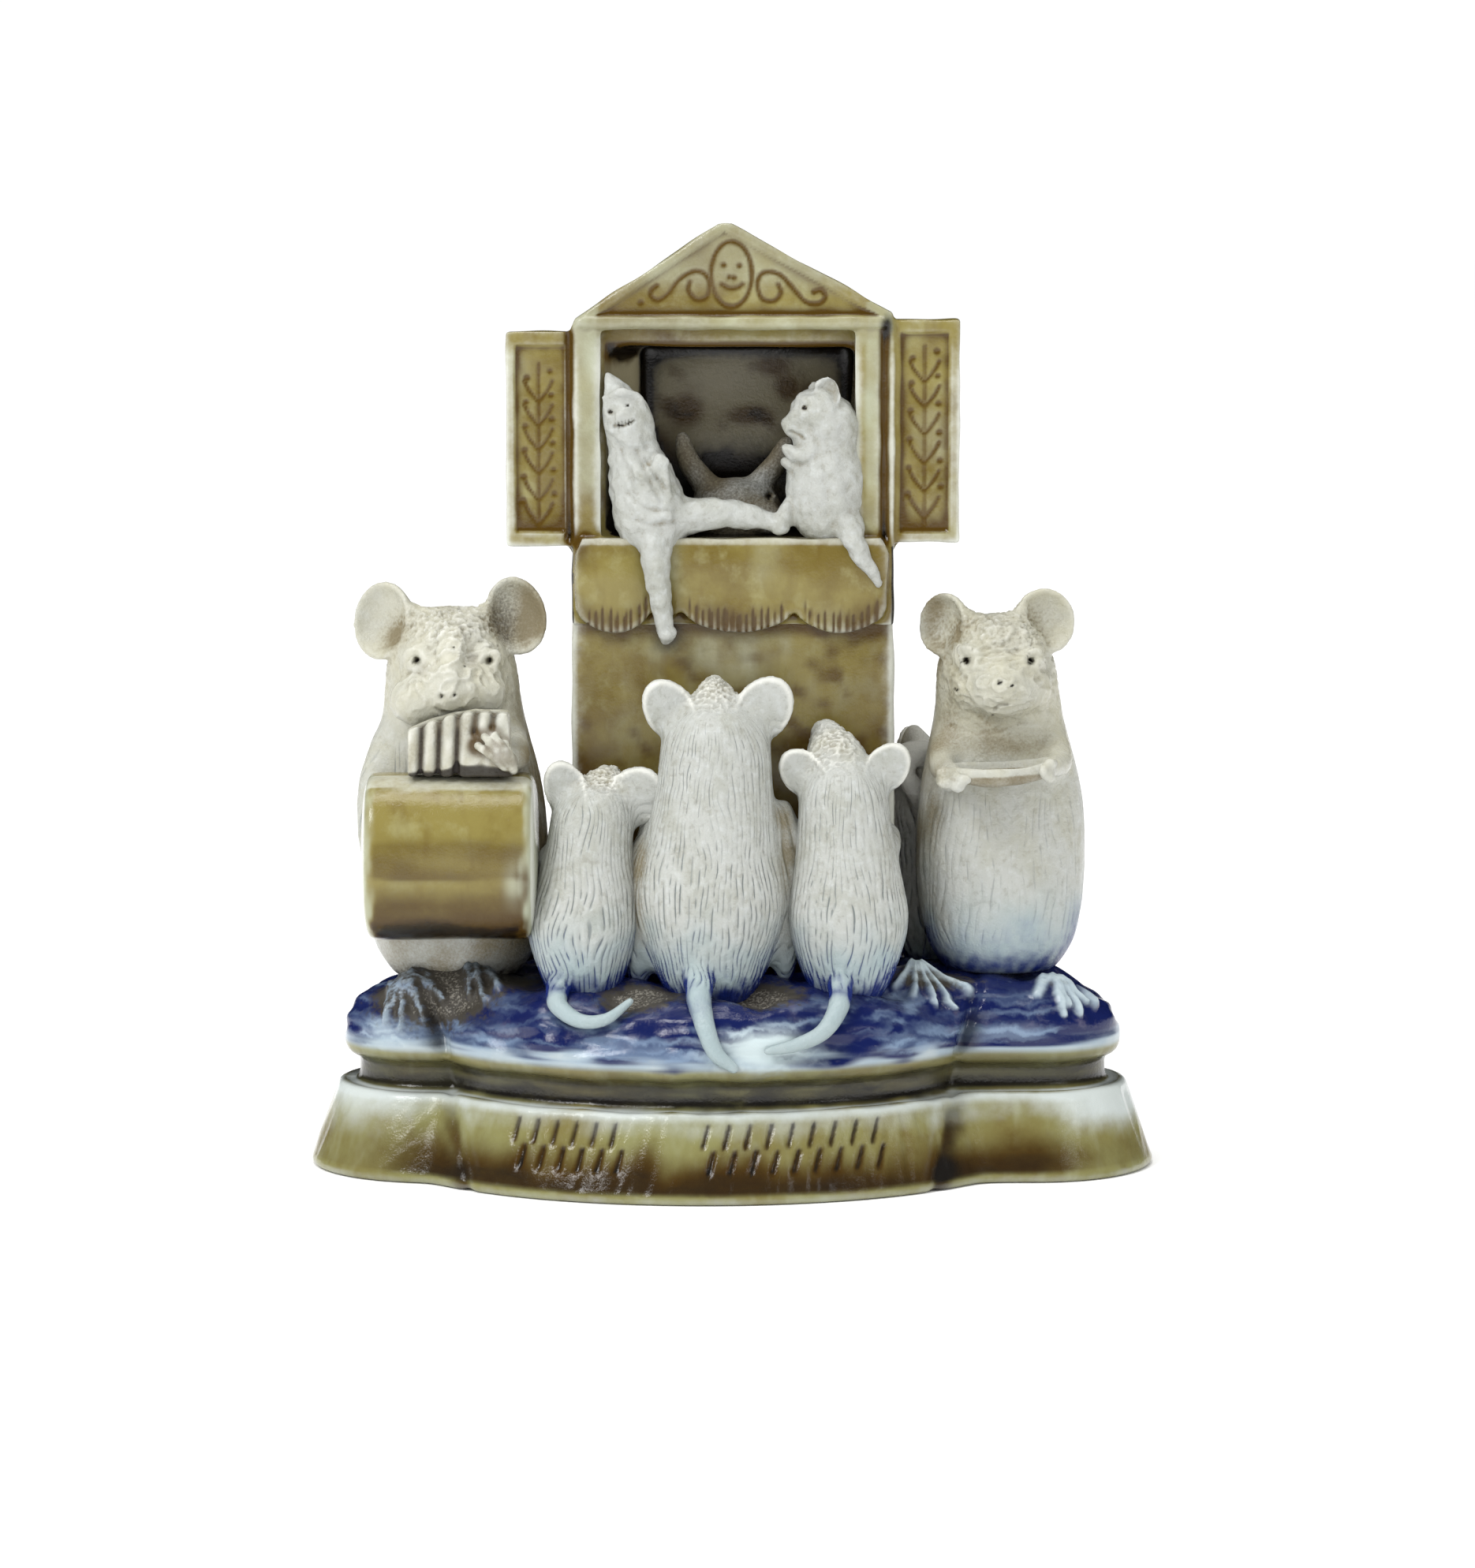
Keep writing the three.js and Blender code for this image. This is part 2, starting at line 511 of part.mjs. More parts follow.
// Pan pipes: round pipes side by side, taller to the right, on a plain backing
function panPipes() {
  const { left, right, low, high, front, back, step } = PIPES;
  const pitch = (right - left) / PIPE_COUNT;
  const radius = 0.56 * pitch;
  const pipes = range(PIPE_COUNT).map((i) => {
    const top = high + (step * i) / PIPE_COUNT;
    const geometry = new THREE.CylinderGeometry(radius, radius, top - low, SIDES.limb);
    geometry.rotateX(Math.PI / 2);
    geometry.translate(left + pitch * (i + 0.5), front + radius, (top + low) / 2);
    return solidOf(geometry);
  });
  const backing = rectangle(left + radius / 2, right - radius / 2, low, high - radius / 2);
  return joined([...pipes, plate(backing, front + radius, back)]);
}

function dish() {
  const { at, halfWidth, halfDepth, wall, height } = DISH;
  const rim = 1 - wall / halfWidth;
  const profile = [
    [0, -height], [0.55, -height], [0.9, -0.45 * height], [1, 0], [rim, 0], [rim - 0.15, -0.55 * height],
    [0, -0.62 * height],
  ].map(([radius, along]) => new THREE.Vector2(radius, along));
  const geometry = new THREE.LatheGeometry(profile, SIDES.grown);
  geometry.rotateX(Math.PI / 2);
  geometry.scale(halfWidth, halfDepth, 1);
  geometry.translate(...at);
  return solidOf(geometry);
}

function stageFigures() {
  const { body: trunk, hood, limbs } = CAPPED_PUPPET;
  return joined([
    limb(trunk, STEPS.limb, SIDES.egg),
    limb(hood, STEPS.limb, SIDES.egg),
    ...[...limbs, ...MOUSE_PUPPET.limbs].map((part) => limb(part)),
    egg(MOUSE_PUPPET.body),
    egg(SHOWMAN.head),
    limb(SHOWMAN.snout),
    ...[...MOUSE_PUPPET.ears, ...SHOWMAN.ears].map(ear),
  ]);
}

const wholeGroup = joined([
  plinthAndGround(), booth(), stageFigures(),
  grownMouse(DRUMMER), drum(), panPipes(),
  grownMouse(COLLECTOR), dish(),
  ...WATCHERS.map(youngMouse), youngMouse(PEEPER),
]);

// The joined solid as a geometry again
function geometryOf(solid) {
  const mesh = solid.getMesh();
  const points = new Float32Array(mesh.numVert * 3);
  for (let i = 0; i < mesh.numVert; i++) {
    points.set(mesh.vertProperties.subarray(i * mesh.numProp, i * mesh.numProp + 3), i * 3);
  }
  const geometry = new THREE.BufferGeometry().setAttribute('position', new THREE.BufferAttribute(points, 3));
  geometry.setIndex(new THREE.BufferAttribute(mesh.triVerts, 1));
  geometry.computeVertexNormals();
  return geometry;
}

const stoneware = new THREE.MeshStandardMaterial({ color: 0xc9c8bc, roughness: 0.35, metalness: 0 });
const mouseGroup = new THREE.Mesh(geometryOf(wholeGroup), stoneware);
mouseGroup.name = 'mouse_group';

const group = new THREE.Group();
group.add(mouseGroup);

export default group;
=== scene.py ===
# %% [markdown]
# # A stoneware figure group
# Two grown and four young mice, a puppet booth and a lobed plinth, modelled by hand in clay, salt-glazed
# and fired as one piece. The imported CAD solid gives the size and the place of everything. Here its looks
# are made: soft clay joins, combed fur, incised ornament, and glazes that run off edges and pool in
# hollows. Measures are in millimetres, and become metres where a mesh is made.

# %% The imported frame
import math

import bpy
import numpy as np
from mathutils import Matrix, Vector


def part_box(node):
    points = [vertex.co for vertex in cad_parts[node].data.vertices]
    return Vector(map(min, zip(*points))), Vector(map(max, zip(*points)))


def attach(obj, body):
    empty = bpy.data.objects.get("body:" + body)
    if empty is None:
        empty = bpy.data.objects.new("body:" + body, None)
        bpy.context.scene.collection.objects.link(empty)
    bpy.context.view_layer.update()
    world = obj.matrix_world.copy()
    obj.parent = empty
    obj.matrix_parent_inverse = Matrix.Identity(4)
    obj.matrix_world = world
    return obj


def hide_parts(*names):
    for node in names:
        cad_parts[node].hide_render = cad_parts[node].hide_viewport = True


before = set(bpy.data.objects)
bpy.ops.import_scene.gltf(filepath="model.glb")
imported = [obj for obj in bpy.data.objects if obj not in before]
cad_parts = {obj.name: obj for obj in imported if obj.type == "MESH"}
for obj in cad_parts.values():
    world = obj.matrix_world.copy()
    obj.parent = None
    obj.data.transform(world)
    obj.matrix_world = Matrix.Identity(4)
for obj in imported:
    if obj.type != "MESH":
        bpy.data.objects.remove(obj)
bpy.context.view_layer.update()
low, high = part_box("mouse_group")
print("frame box in mm:", [round(1000 * v, 1) for v in (*low, *high)])

# %% [markdown]
# ## Camera
# The group was photographed from a little above, about seven degrees, with a long lens that keeps the
# plinth's ends from swelling. The focal length is known in pixels of the photograph, so it is turned into
# millimetres by the share that the picture's height has of the sensor.

# %% Camera
MM = 0.001
TARGET = Vector((0.75, 0.0, 54.8)) * MM
CAMERA_DISTANCE = 750 * MM
CAMERA_ELEVATION = math.radians(7)
PHOTO_HEIGHT = 1988
FOCAL_PIXELS = 6619.5
SENSOR = 36.0

camera = bpy.data.objects.new("camera", bpy.data.cameras.new("camera"))
bpy.context.scene.collection.objects.link(camera)
camera.data.sensor_width = SENSOR
camera.data.lens = SENSOR * FOCAL_PIXELS / PHOTO_HEIGHT
camera.data.clip_start = 0.01
back = Vector((0, -math.cos(CAMERA_ELEVATION), math.sin(CAMERA_ELEVATION)))
camera.location = TARGET + CAMERA_DISTANCE * back
camera.rotation_euler = (math.pi / 2 - CAMERA_ELEVATION, 0, 0)
bpy.context.scene.camera = camera
print("lens", round(camera.data.lens, 1), "mm")

# %% [markdown]
# ## Floor, air and lamps
# White paper lies under the group: a large dull square, a hair below the foot so that the two never share
# a plane. The air lights everything evenly, but hidden from the gloss, as it would wash out dark glaze.

# %% Floor
FLOOR_REACH = 6.0
FLOOR_DROP = 0.00005
PAPER_WHITE = 0.985

square = [(x * FLOOR_REACH, y * FLOOR_REACH, -FLOOR_DROP) for x, y in ((-1, -1), (1, -1), (1, 1), (-1, 1))]
floor_mesh = bpy.data.meshes.new("floor")
floor_mesh.from_pydata(square, [], [(0, 1, 2, 3)])
floor = bpy.data.objects.new("floor", floor_mesh)
bpy.context.scene.collection.objects.link(floor)
paper = bpy.data.materials.new("pale paper")
paper.use_nodes = True
paper_surface = paper.node_tree.nodes["Principled BSDF"].inputs
paper_surface["Base Color"].default_value = (PAPER_WHITE, PAPER_WHITE, PAPER_WHITE, 1)
paper_surface["Roughness"].default_value = 1.0
paper_surface["Specular IOR Level"].default_value = 0.0
floor.data.materials.append(paper)
print("floor:", 2 * FLOOR_REACH, "m wide")

# %% Air
AIR = 1.03

world = bpy.data.worlds.new("air")
bpy.context.scene.world = world
world.use_nodes = True
world.node_tree.nodes["Background"].inputs["Color"].default_value = (1, 1, 1, 1)
world.node_tree.nodes["Background"].inputs["Strength"].default_value = AIR
world.cycles_visibility.glossy = False
bpy.context.scene.view_settings.view_transform = "Standard"
print("air:", AIR)

# %% [markdown]
# One large soft lamp high on the left models the forms with broad, calm reflections. One overhead lifts
# the heads and ledges, and a weak one on the right picks out the far sides.

# %% Lamps
LAMPS = {
    "key": {"at": (-0.6, -0.6, 0.8), "size": 0.34, "watts": 5.6},
    "overhead": {"at": (-0.1, -0.12, 1.05), "size": 0.42, "watts": 3.0},
    "side": {"at": (0.75, -0.8, 0.35), "size": 0.16, "watts": 0.5},
}

for lamp_name, lamp in LAMPS.items():
    light = bpy.data.lights.new(lamp_name, "AREA")
    light.size = lamp["size"]
    light.energy = lamp["watts"]
    holder = bpy.data.objects.new(lamp_name, light)
    holder.location = lamp["at"]
    holder.rotation_euler = (TARGET - holder.location).to_track_quat("-Z", "Y").to_euler()
    bpy.context.scene.collection.objects.link(holder)
print("lamps:", ", ".join(LAMPS))

# %% [markdown]
# ## Clay
# Every form starts as a simple closed surface: a rolled bar, an egg, a leaning body, a cupped ear or a cut
# slab. All are rings of corners with a cap at each end, on smooth curves through a few chosen points, so
# one kind of skin and one kind of curve serve them all.

# %% Rings, curves and directions
def skin(rings):
    """Quads between following rings of equal count, with the first and the last ring closed as flat caps."""
    rings = np.asarray(rings, float)
    count, sides = rings.shape[:2]
    here = np.arange(count * sides).reshape(count, sides)
    beside = np.roll(here, -1, axis=1)
    quads = np.stack([here[:-1], beside[:-1], beside[1:], here[1:]], -1).reshape(-1, 4)
    return rings.reshape(-1, 3), [*quads.tolist(), here[0, ::-1].tolist(), here[-1].tolist()]


def smooth_curve(points, count):
    """Catmull-Rom: each span is the cubic that passes its two points along the chords of their neighbours."""
    p = np.asarray(points, float)
    p = np.concatenate([2 * p[:1] - p[1:2], p, 2 * p[-1:] - p[-2:-1]])
    place = np.linspace(0, len(p) - 3, count)
    i = np.minimum(place.astype(int), len(p) - 4)
    u = (place - i)[:, None]
    a, b, c, d = p[i], p[i + 1], p[i + 2], p[i + 3]
    return 0.5 * (2 * b + (c - a) * u + (2 * a - 5 * b + 4 * c - d) * u**2 + (3 * b - a - 3 * c + d) * u**3)


def unit(vectors):
    """Vectors divided by their lengths."""
    vectors = np.asarray(vectors, float)
    return vectors / np.maximum(np.linalg.norm(vectors, axis=-1, keepdims=True), 1e-12)


print("a smooth curve:", smooth_curve([(0, 0), (1, 1), (2, 0)], 5).tolist())

# %% [markdown]
# ### Rolled bars
# Arms, tails and the puppets' limbs are clay rolled between the palms: tapered, bent and domed at both
# ends. Rings are carried along a smooth path. Each ring's first direction is the last one with its part
# along the path taken out, so the bar doesn't twist.

# %% Rolled bars
END_ANGLES = np.radians([12, 35, 60])
OFF_PATH = (0.31, 0.17, 0.94)


def rolled(path, radii, steps=20, sides=20, flat=1.0):
    """Circles c(t) + r(t) (cos a n1 + flat sin a n2) square to a smooth path, with domed ends."""
    radii = np.asarray(radii, float)[:, None]
    centres = smooth_curve(path, steps)
    r = smooth_curve(np.repeat(radii, 3, axis=1), steps)[:, 0]
    along = unit(np.gradient(centres, axis=0))
    side = unit(np.cross(along[0], OFF_PATH))
    sides_of = []
    for direction in along:
        side = unit(side - np.dot(side, direction) * direction)
        sides_of.append(side)
    first = np.array(sides_of)
    second = np.cross(along, first)
    head, tail = END_ANGLES, END_ANGLES[::-1]
    centres = np.concatenate([
        centres[0] - along[0] * (r[0] * np.cos(head))[:, None], centres,
        centres[-1] + along[-1] * (r[-1] * np.cos(tail))[:, None],
    ])
    first = np.concatenate([np.repeat(first[:1], 3, 0), first, np.repeat(first[-1:], 3, 0)])
    second = np.concatenate([np.repeat(second[:1], 3, 0), second, np.repeat(second[-1:], 3, 0)])
    r = np.concatenate([r[0] * np.sin(head), r, r[-1] * np.sin(tail)])
    a = np.linspace(0, 2 * np.pi, sides, endpoint=False)[:, None, None]
    rings = centres + r[:, None] * (np.cos(a) * first + flat * np.sin(a) * second)
    return skin(rings.transpose(1, 0, 2))


print("a rolled bar:", len(rolled([(0, 0, 0), (0, 0, 5), (0, 2, 9)], [1, 1, 0.5])[0]), "corners")

# %% [markdown]
# ### Eggs, slabs and plates
# Cheeks, brows and paws are small balls of clay pressed flat, and the booth is cut from slabs. Their edges
# are left sharp, because averaging rounds them later, as a wet finger would.

# %% Eggs, slabs and plates
POLE_GAP = 0.04


def turned(vectors, tip=0.0, roll=0.0):
    """Vectors turned about X by tip and about Y by roll, in degrees."""
    t, r = np.radians(tip), np.radians(roll)
    about_x = np.array([[1, 0, 0], [0, np.cos(t), -np.sin(t)], [0, np.sin(t), np.cos(t)]])
    about_y = np.array([[np.cos(r), 0, np.sin(r)], [0, 1, 0], [-np.sin(r), 0, np.cos(r)]])
    return np.asarray(vectors) @ (about_y @ about_x).T


def egg(at, size, tip=0.0, roll=0.0, sides=28, rows=18):
    """An ellipsoid: size * (sin b cos a, sin b sin a, cos b), turned and moved to its place."""
    b = np.linspace(POLE_GAP, np.pi - POLE_GAP, rows)[:, None]
    a = np.linspace(0, 2 * np.pi, sides, endpoint=False)[None, :]
    ball = np.stack([np.sin(b) * np.cos(a), np.sin(b) * np.sin(a), np.cos(b) + 0 * a], -1)
    return skin(turned(ball * size, tip, roll) + at)


def slab(left, right, front, rear, bottom, top):
    """A cut slab of clay with square edges, which the averaging rounds later."""
    x, y, z = [(left, right), (front, rear), (bottom, top)]
    ring = [(x[0], y[0]), (x[1], y[0]), (x[1], y[1]), (x[0], y[1])]
    return skin([[(px, py, level) for px, py in ring] for level in z])


def plate(outline, front, rear):
    """A slab with any outline in the XZ plane, between two depths."""
    return skin([[(x, y, z) for x, z in outline] for y in (front, rear)])


print("an egg:", len(egg((0, 0, 0), (1, 1, 1))[0]), "corners")

# %% [markdown]
# ### Bodies and ears
# A mouse here is a cone of clay squeezed in at the neck, and its head is just the top: oval rings up a
# leaning axis. An ear is a disc pinched to a cup with a thick rim: a profile turned round its middle.

# %% Bodies and ears
def leaning_body(seat, height, half_width, half_depth, lean, rows, sides=72, steps=60):
    """Oval rings up a leaning axis. Rows give shares of height, half-width, half-depth and lean, smoothed."""
    share, wide, deep, part = smooth_curve(rows, steps).T
    a = np.linspace(0, 2 * np.pi, sides, endpoint=False)[None, :]
    x = seat[0] + (lean[0] * part)[:, None] + (wide * half_width)[:, None] * np.cos(a)
    y = seat[1] + (lean[1] * part)[:, None] + (deep * half_depth)[:, None] * np.sin(a)
    z = seat[2] + (share * height)[:, None] + 0 * a
    return skin(np.stack([x, y, z], -1))


EAR_PROFILE = np.array([
    [0.02, -0.1], [0.3, -0.08], [0.6, 0.05], [0.8, 0.28], [0.92, 0.5], [1.0, 0.52], [1.03, 0.36],
    [0.97, 0.1], [0.8, -0.2], [0.5, -0.42], [0.2, -0.52], [0.02, -0.54],
])


def cupped_ear(at, facing, size, roll=0.0, sides=36):
    """A cupped disc: a profile (radius, height) turned round as r(cos a, sin a), then made to face out."""
    radius, height = smooth_curve(EAR_PROFILE, 30).T
    a = np.linspace(0, 2 * np.pi, sides, endpoint=False)[None, :]
    disc = np.stack([
        size[0] * radius[:, None] * np.cos(a), size[1] * height[:, None] + 0 * a,
        size[2] * radius[:, None] * np.sin(a),
    ], -1)
    front = unit(facing)
    side = unit(np.cross(front, (0, 0, 1)))
    up = np.cross(side, front)
    return skin(turned(disc, 0, roll) @ np.array([side, front, up]) + at)


print("ear profile:", len(EAR_PROFILE), "knots")

# %% [markdown]
# ### Pressing the pieces together
# A potter presses the pieces onto each other and smooths the joins. Joining meshes by their faces would
# leave sharp seams, so the Remesh modifier draws one new skin round them, and averaging softens it.

# %% One skin round many pieces
def fused(parts, voxel):
    """The outer skin of overlapping closed surfaces: a level set on voxels of that size, as quads."""
    corners, faces, start = [], [], 0
    for points, part_faces in parts:
        corners.append(points)
        faces += [[start + i for i in face] for face in part_faces]
        start += len(points)
    mesh = bpy.data.meshes.new("clay")
    mesh.from_pydata(np.concatenate(corners).tolist(), [], faces)
    lump = bpy.data.objects.new("clay", mesh)
    bpy.context.scene.collection.objects.link(lump)
    remesh = lump.modifiers.new("skin", "REMESH")
    remesh.mode = "VOXEL"
    remesh.voxel_size = voxel
    evaluated = lump.evaluated_get(bpy.context.evaluated_depsgraph_get())
    skinned = bpy.data.meshes.new_from_object(evaluated)
    points = np.empty(3 * len(skinned.vertices))
    skinned.vertices.foreach_get("co", points)
    quads = np.empty(len(skinned.loops), np.int32)
    skinned.loops.foreach_get("vertex_index", quads)
    bpy.data.objects.remove(lump)
    bpy.data.meshes.remove(mesh)
    bpy.data.meshes.remove(skinned)
    return points.reshape(-1, 3), quads.reshape(-1, 4)


pressed, pressed_quads = fused([egg((0, 0, 0), (2, 2, 2)), egg((2, 0, 0), (2, 2, 2))], 0.5)
print("two eggs in one skin:", len(pressed_quads), "quads")

# %% Smoothing and normals
def edges_of(quads):
    """Each edge of the quads once, as two corner numbers."""
    pairs = np.concatenate([quads[:, [0, 1]], quads[:, [1, 2]], quads[:, [2, 3]], quads[:, [3, 0]]])
    return np.unique(np.sort(pairs, axis=1), axis=0)


def averaged(values, edges, times, share=0.5):
    """Values moved towards the mean of their neighbours, a few times; values has one row for each corner."""
    values = np.array(values, float)
    flat = values.reshape(len(values), -1)
    a, b = edges.T
    degree = np.bincount(a, minlength=len(flat)) + np.bincount(b, minlength=len(flat))
    for _ in range(times):
        for column in range(flat.shape[1]):
            v = flat[:, column]
            total = np.bincount(a, v[b], len(v)) + np.bincount(b, v[a], len(v))
            flat[:, column] += share * (total / np.maximum(degree, 1) - v)
    return flat.reshape(values.shape)


def normals_of(points, quads):
    """Corner normals: the sum of the cross products of the diagonals of the quads round each corner."""
    p = points[quads]
    face = np.cross(p[:, 2] - p[:, 0], p[:, 3] - p[:, 1])
    index = quads.ravel()
    weight = np.repeat(face, 4, axis=0)
    total = np.stack([np.bincount(index, weight[:, k], len(points)) for k in range(3)], -1)
    return unit(total)


print("two eggs in one skin:", len(edges_of(pressed_quads)), "edges")

# %% [markdown]
# ### Unevenness
# No surface made by hand is even. A few plane waves with random directions and like lengths add up to soft
# lumps of one size. They are the same in every run, because each call has its own seed.

# %% Unevenness
def lumps(points, size, seed, waves=14):
    """Between about -1 and 1: the sum of cos(k p + phase) over the waves, times sqrt(2 / waves) / 1.6."""
    rng = np.random.default_rng(seed)
    directions = unit(rng.normal(size=(waves, 3)))
    directions = directions * (2 * np.pi / (size * rng.uniform(0.7, 1.5, waves)))[:, None]
    phases = rng.uniform(0, 2 * np.pi, waves)
    return np.cos(points @ directions.T + phases).sum(1) * math.sqrt(2 / waves) / 1.6


print("lumps at three places:", np.round(lumps(np.eye(3) * 7, 5.0, 1), 2).tolist())

# %% [markdown]
# ## The plinth and the ground
# One surface makes the flared plinth, the groove above it and the soft cushion of ground, which are one
# lump of clay on the real piece. The outline is an oval joined to a long bar with round ends, in polar
# form, because that gives the four lobes and the notches between them from a handful of sizes.

# %% Outline of the plinth
HALF_WIDTH, BAR_HALF_DEPTH = 60.8, 17.6
OVAL_HALF_WIDTH, OVAL_HALF_DEPTH, OVAL_SHIFT = 45.7, 34.0, -4.0
NOTCH_SHARPNESS = 26


def outline_reach(angle, inset):
    """Polar outline R(a) = (oval(a)^n + bar(a)^n)^(1/n), both shapes moved inwards by inset."""
    c, s = np.cos(angle), np.sin(angle)
    w, d = OVAL_HALF_WIDTH - inset, OVAL_HALF_DEPTH - inset
    square = (c / w) ** 2 + (s / d) ** 2
    half = c * OVAL_SHIFT / w**2
    oval = (half + np.sqrt(half**2 - square * ((OVAL_SHIFT / w) ** 2 - 1))) / square
    radius, straight = BAR_HALF_DEPTH - inset, HALF_WIDTH - BAR_HALF_DEPTH
    side = radius / np.maximum(np.abs(s), 1e-9)
    along = straight * np.abs(c)
    end = along + np.sqrt(np.maximum(along**2 - straight**2 + radius**2, 0))
    bar = np.where(side * np.abs(c) <= straight, side, end)
    return (oval**NOTCH_SHARPNESS + bar**NOTCH_SHARPNESS) ** (1 / NOTCH_SHARPNESS)


print("reach to the right and back in mm:", np.round(outline_reach(np.radians([0, 90]), 0.0), 1))

# %% [markdown]
# ### Its profile
# Knots of inset, share of the way out and height run from the underside, up the flare, through the groove
# and over the ground. The foot and the arris get several, because glaze will thin or pool there.

# %% Profile of the plinth and the ground
GROUND_INSET, GROUND_WIDEST, GROUND_TOP = 4.7, 19.6, 28.4
GROUND_SHOULDER, GROUND_ROUNDNESS = 0.7, 2.1
PROFILE = [
    (1.6, 0.02, 0.0), (1.6, 0.5, 0.0), (1.3, 0.99, 0.0), (0.6, 1, 0.05), (0.12, 1, 0.35), (0.0, 1, 1.1),
    (0.5, 1, 2.6), (1.9, 1, 6.4), (3.2, 1, 10.0), (3.75, 1, 11.5), (4.2, 1, 12.15), (4.9, 1, 12.4),
    (5.7, 1, 12.2), (6.4, 1, 12.3), (6.9, 1, 12.9), (7.0, 1, 14.2), (6.9, 1, 15.3), (6.4, 1, 16.0),
    (5.7, 1, 16.3), (5.1, 1, 16.9), (4.75, 1, 18.0), (4.7, 1, 19.6),
]


def ground_profile(share):
    """Height of the ground at a share of the way out: widest + rise (1 - over^n)^(1/n)."""
    over = np.clip((share - GROUND_SHOULDER) / (1 - GROUND_SHOULDER), 0, 1)
    rise = (1 - over**GROUND_ROUNDNESS) ** (1 / GROUND_ROUNDNESS)
    return GROUND_WIDEST + (GROUND_TOP - GROUND_WIDEST) * rise


print("profile:", len(PROFILE), "knots up to the ground, which rises to", GROUND_TOP, "mm")

# %% [markdown]
# ### Soft steps, blobs and lines
# Marks in clay and brushed glaze have soft edges. A step, a blob and the distance from a drawn line are
# enough to say where a surface is pressed, raised or coloured. Each works on all corners at once.

# %% Soft steps, blobs and lines
def step(low_end, high_end, value):
    """3t^2 - 2t^3 of the clamped share t of the way from the low to the high end."""
    t = np.clip((value - low_end) / (high_end - low_end), 0, 1)
    return t * t * (3 - 2 * t)


def bump_at(points, centre, size):
    """exp(-sum(((p - c) / s)^2)): a soft blob with a half-width for each axis."""
    return np.exp(-((((points - np.asarray(centre, float)) / np.asarray(size, float)) ** 2).sum(-1)))


def near_path(points, path):
    """Distance from points to a polyline: the least distance to any of its spans."""
    path = np.asarray(path, float)
    best = np.full(len(points), 1e9)
    for a, b in zip(path[:-1], path[1:]):
        span = b - a
        share = np.clip(((points - a) @ span) / max(span @ span, 1e-12), 0, 1)
        best = np.minimum(best, np.linalg.norm(points - a - share[:, None] * span, axis=1))
    return best


print("a quarter of the way up a soft step:", round(float(step(0, 1, 0.25)), 3))

# %% [markdown]
# ### The grid over the plinth
# Rows are spaced evenly along the profile and columns evenly along the outline, but wider underneath, in
# the middle and at the rear, so that the triangles go to the front, where the work is fine.

# %% The grid over the plinth
ROW_COUNT, COLUMN_COUNT = 120, 640
SHARE_AS_MM = 42
MEAN_RADIUS = 48.0
COARSE_UNDERSIDE, COARSE_MIDDLE, COARSE_REAR = 0.1, 0.12, 0.5


def grid_quads(rows, columns):
    """Quads of a grid that closes round its columns."""
    here = np.arange(rows * columns).reshape(rows, columns)
    beside = np.roll(here, -1, axis=1)
    return np.stack([here[:-1], beside[:-1], beside[1:], here[1:]], -1).reshape(-1, 4)


def walked_along(lengths):
    """How far each point lies from the first, for the lengths of the steps between them."""
    return np.concatenate([[0], np.cumsum(lengths)])


def plinth_and_ground():
    """Corners share(u) R(a, inset(u)) (cos a, sin a) at height(u), quads, and a length round the outline."""
    shares = 1 - (1 - np.cos(np.linspace(0.03, np.pi / 2, 26))) * 0.56
    over_ground = [(GROUND_INSET, s, float(ground_profile(s))) for s in shares]
    middle = [(GROUND_INSET, 0.2, GROUND_TOP), (GROUND_INSET, 0.02, GROUND_TOP)]
    fine = smooth_curve(np.array(PROFILE + over_ground + middle), 900)
    length = np.linalg.norm(np.diff(fine, axis=0) * (1, SHARE_AS_MM, 1), axis=1)
    length *= np.where(fine[1:, 2] < 0.03, COARSE_UNDERSIDE, 1)
    length *= np.where(fine[1:, 1] < 0.47, COARSE_MIDDLE, 1)
    walked = walked_along(length)
    even = np.linspace(0, walked[-1], ROW_COUNT)
    inset, share, height = [np.interp(even, walked, column)[:, None] for column in fine.T]
    angles = np.linspace(-np.pi, np.pi, 6001)
    radius = outline_reach(angles, 3.0)
    edge = np.stack([radius * np.cos(angles), radius * np.sin(angles)], -1)
    length = np.linalg.norm(np.diff(edge, axis=0), axis=1) * np.where(edge[1:, 1] < 3, 1, COARSE_REAR)
    walked = walked_along(length)
    angle = np.interp(np.arange(COLUMN_COUNT) * walked[-1] / COLUMN_COUNT, walked, angles)
    reach = outline_reach(angle[None, :], inset) * share
    points = np.stack([reach * np.cos(angle), reach * np.sin(angle), height + 0 * reach], -1).reshape(-1, 3)
    return points, grid_quads(ROW_COUNT, COLUMN_COUNT), np.tile(MEAN_RADIUS * angle, ROW_COUNT)


points, quads, around = plinth_and_ground()
print("grid:", len(points), "corners")

# %% [markdown]
# ### A surface that can be worked
# A potter presses and pulls the skin of the clay, so a worked surface can be moved along its normals, and
# it keeps the masks that its glaze will need. How far averaging would move a corner outwards tells a hollow
# from an edge, and that decides where glaze pools and where it thins.

# %% A surface that can be worked
class Surface:
    """A worked surface: corners p, normals n, quads, and named masks between 0 and 1 for its glaze."""

    def __init__(self, points, quads):
        self.p, self.quads = points, quads
        self.edges = edges_of(quads)
        self.n = normals_of(points, quads)
        self.masks = {}

    def move(self, height):
        """Moves each corner along its normal: p + height n."""
        self.p = self.p + self.n * height[:, None]
        self.n = normals_of(self.p, self.quads)

    def hollow(self, times):
        """Above 0 in hollows, below 0 on edges: how far averaging over the neighbours moves a corner out."""
        return np.einsum("ij,ij->i", averaged(self.p, self.edges, times) - self.p, self.n)


base = Surface(points, quads)
print("plinth and ground:", 2 * len(base.quads), "triangles")

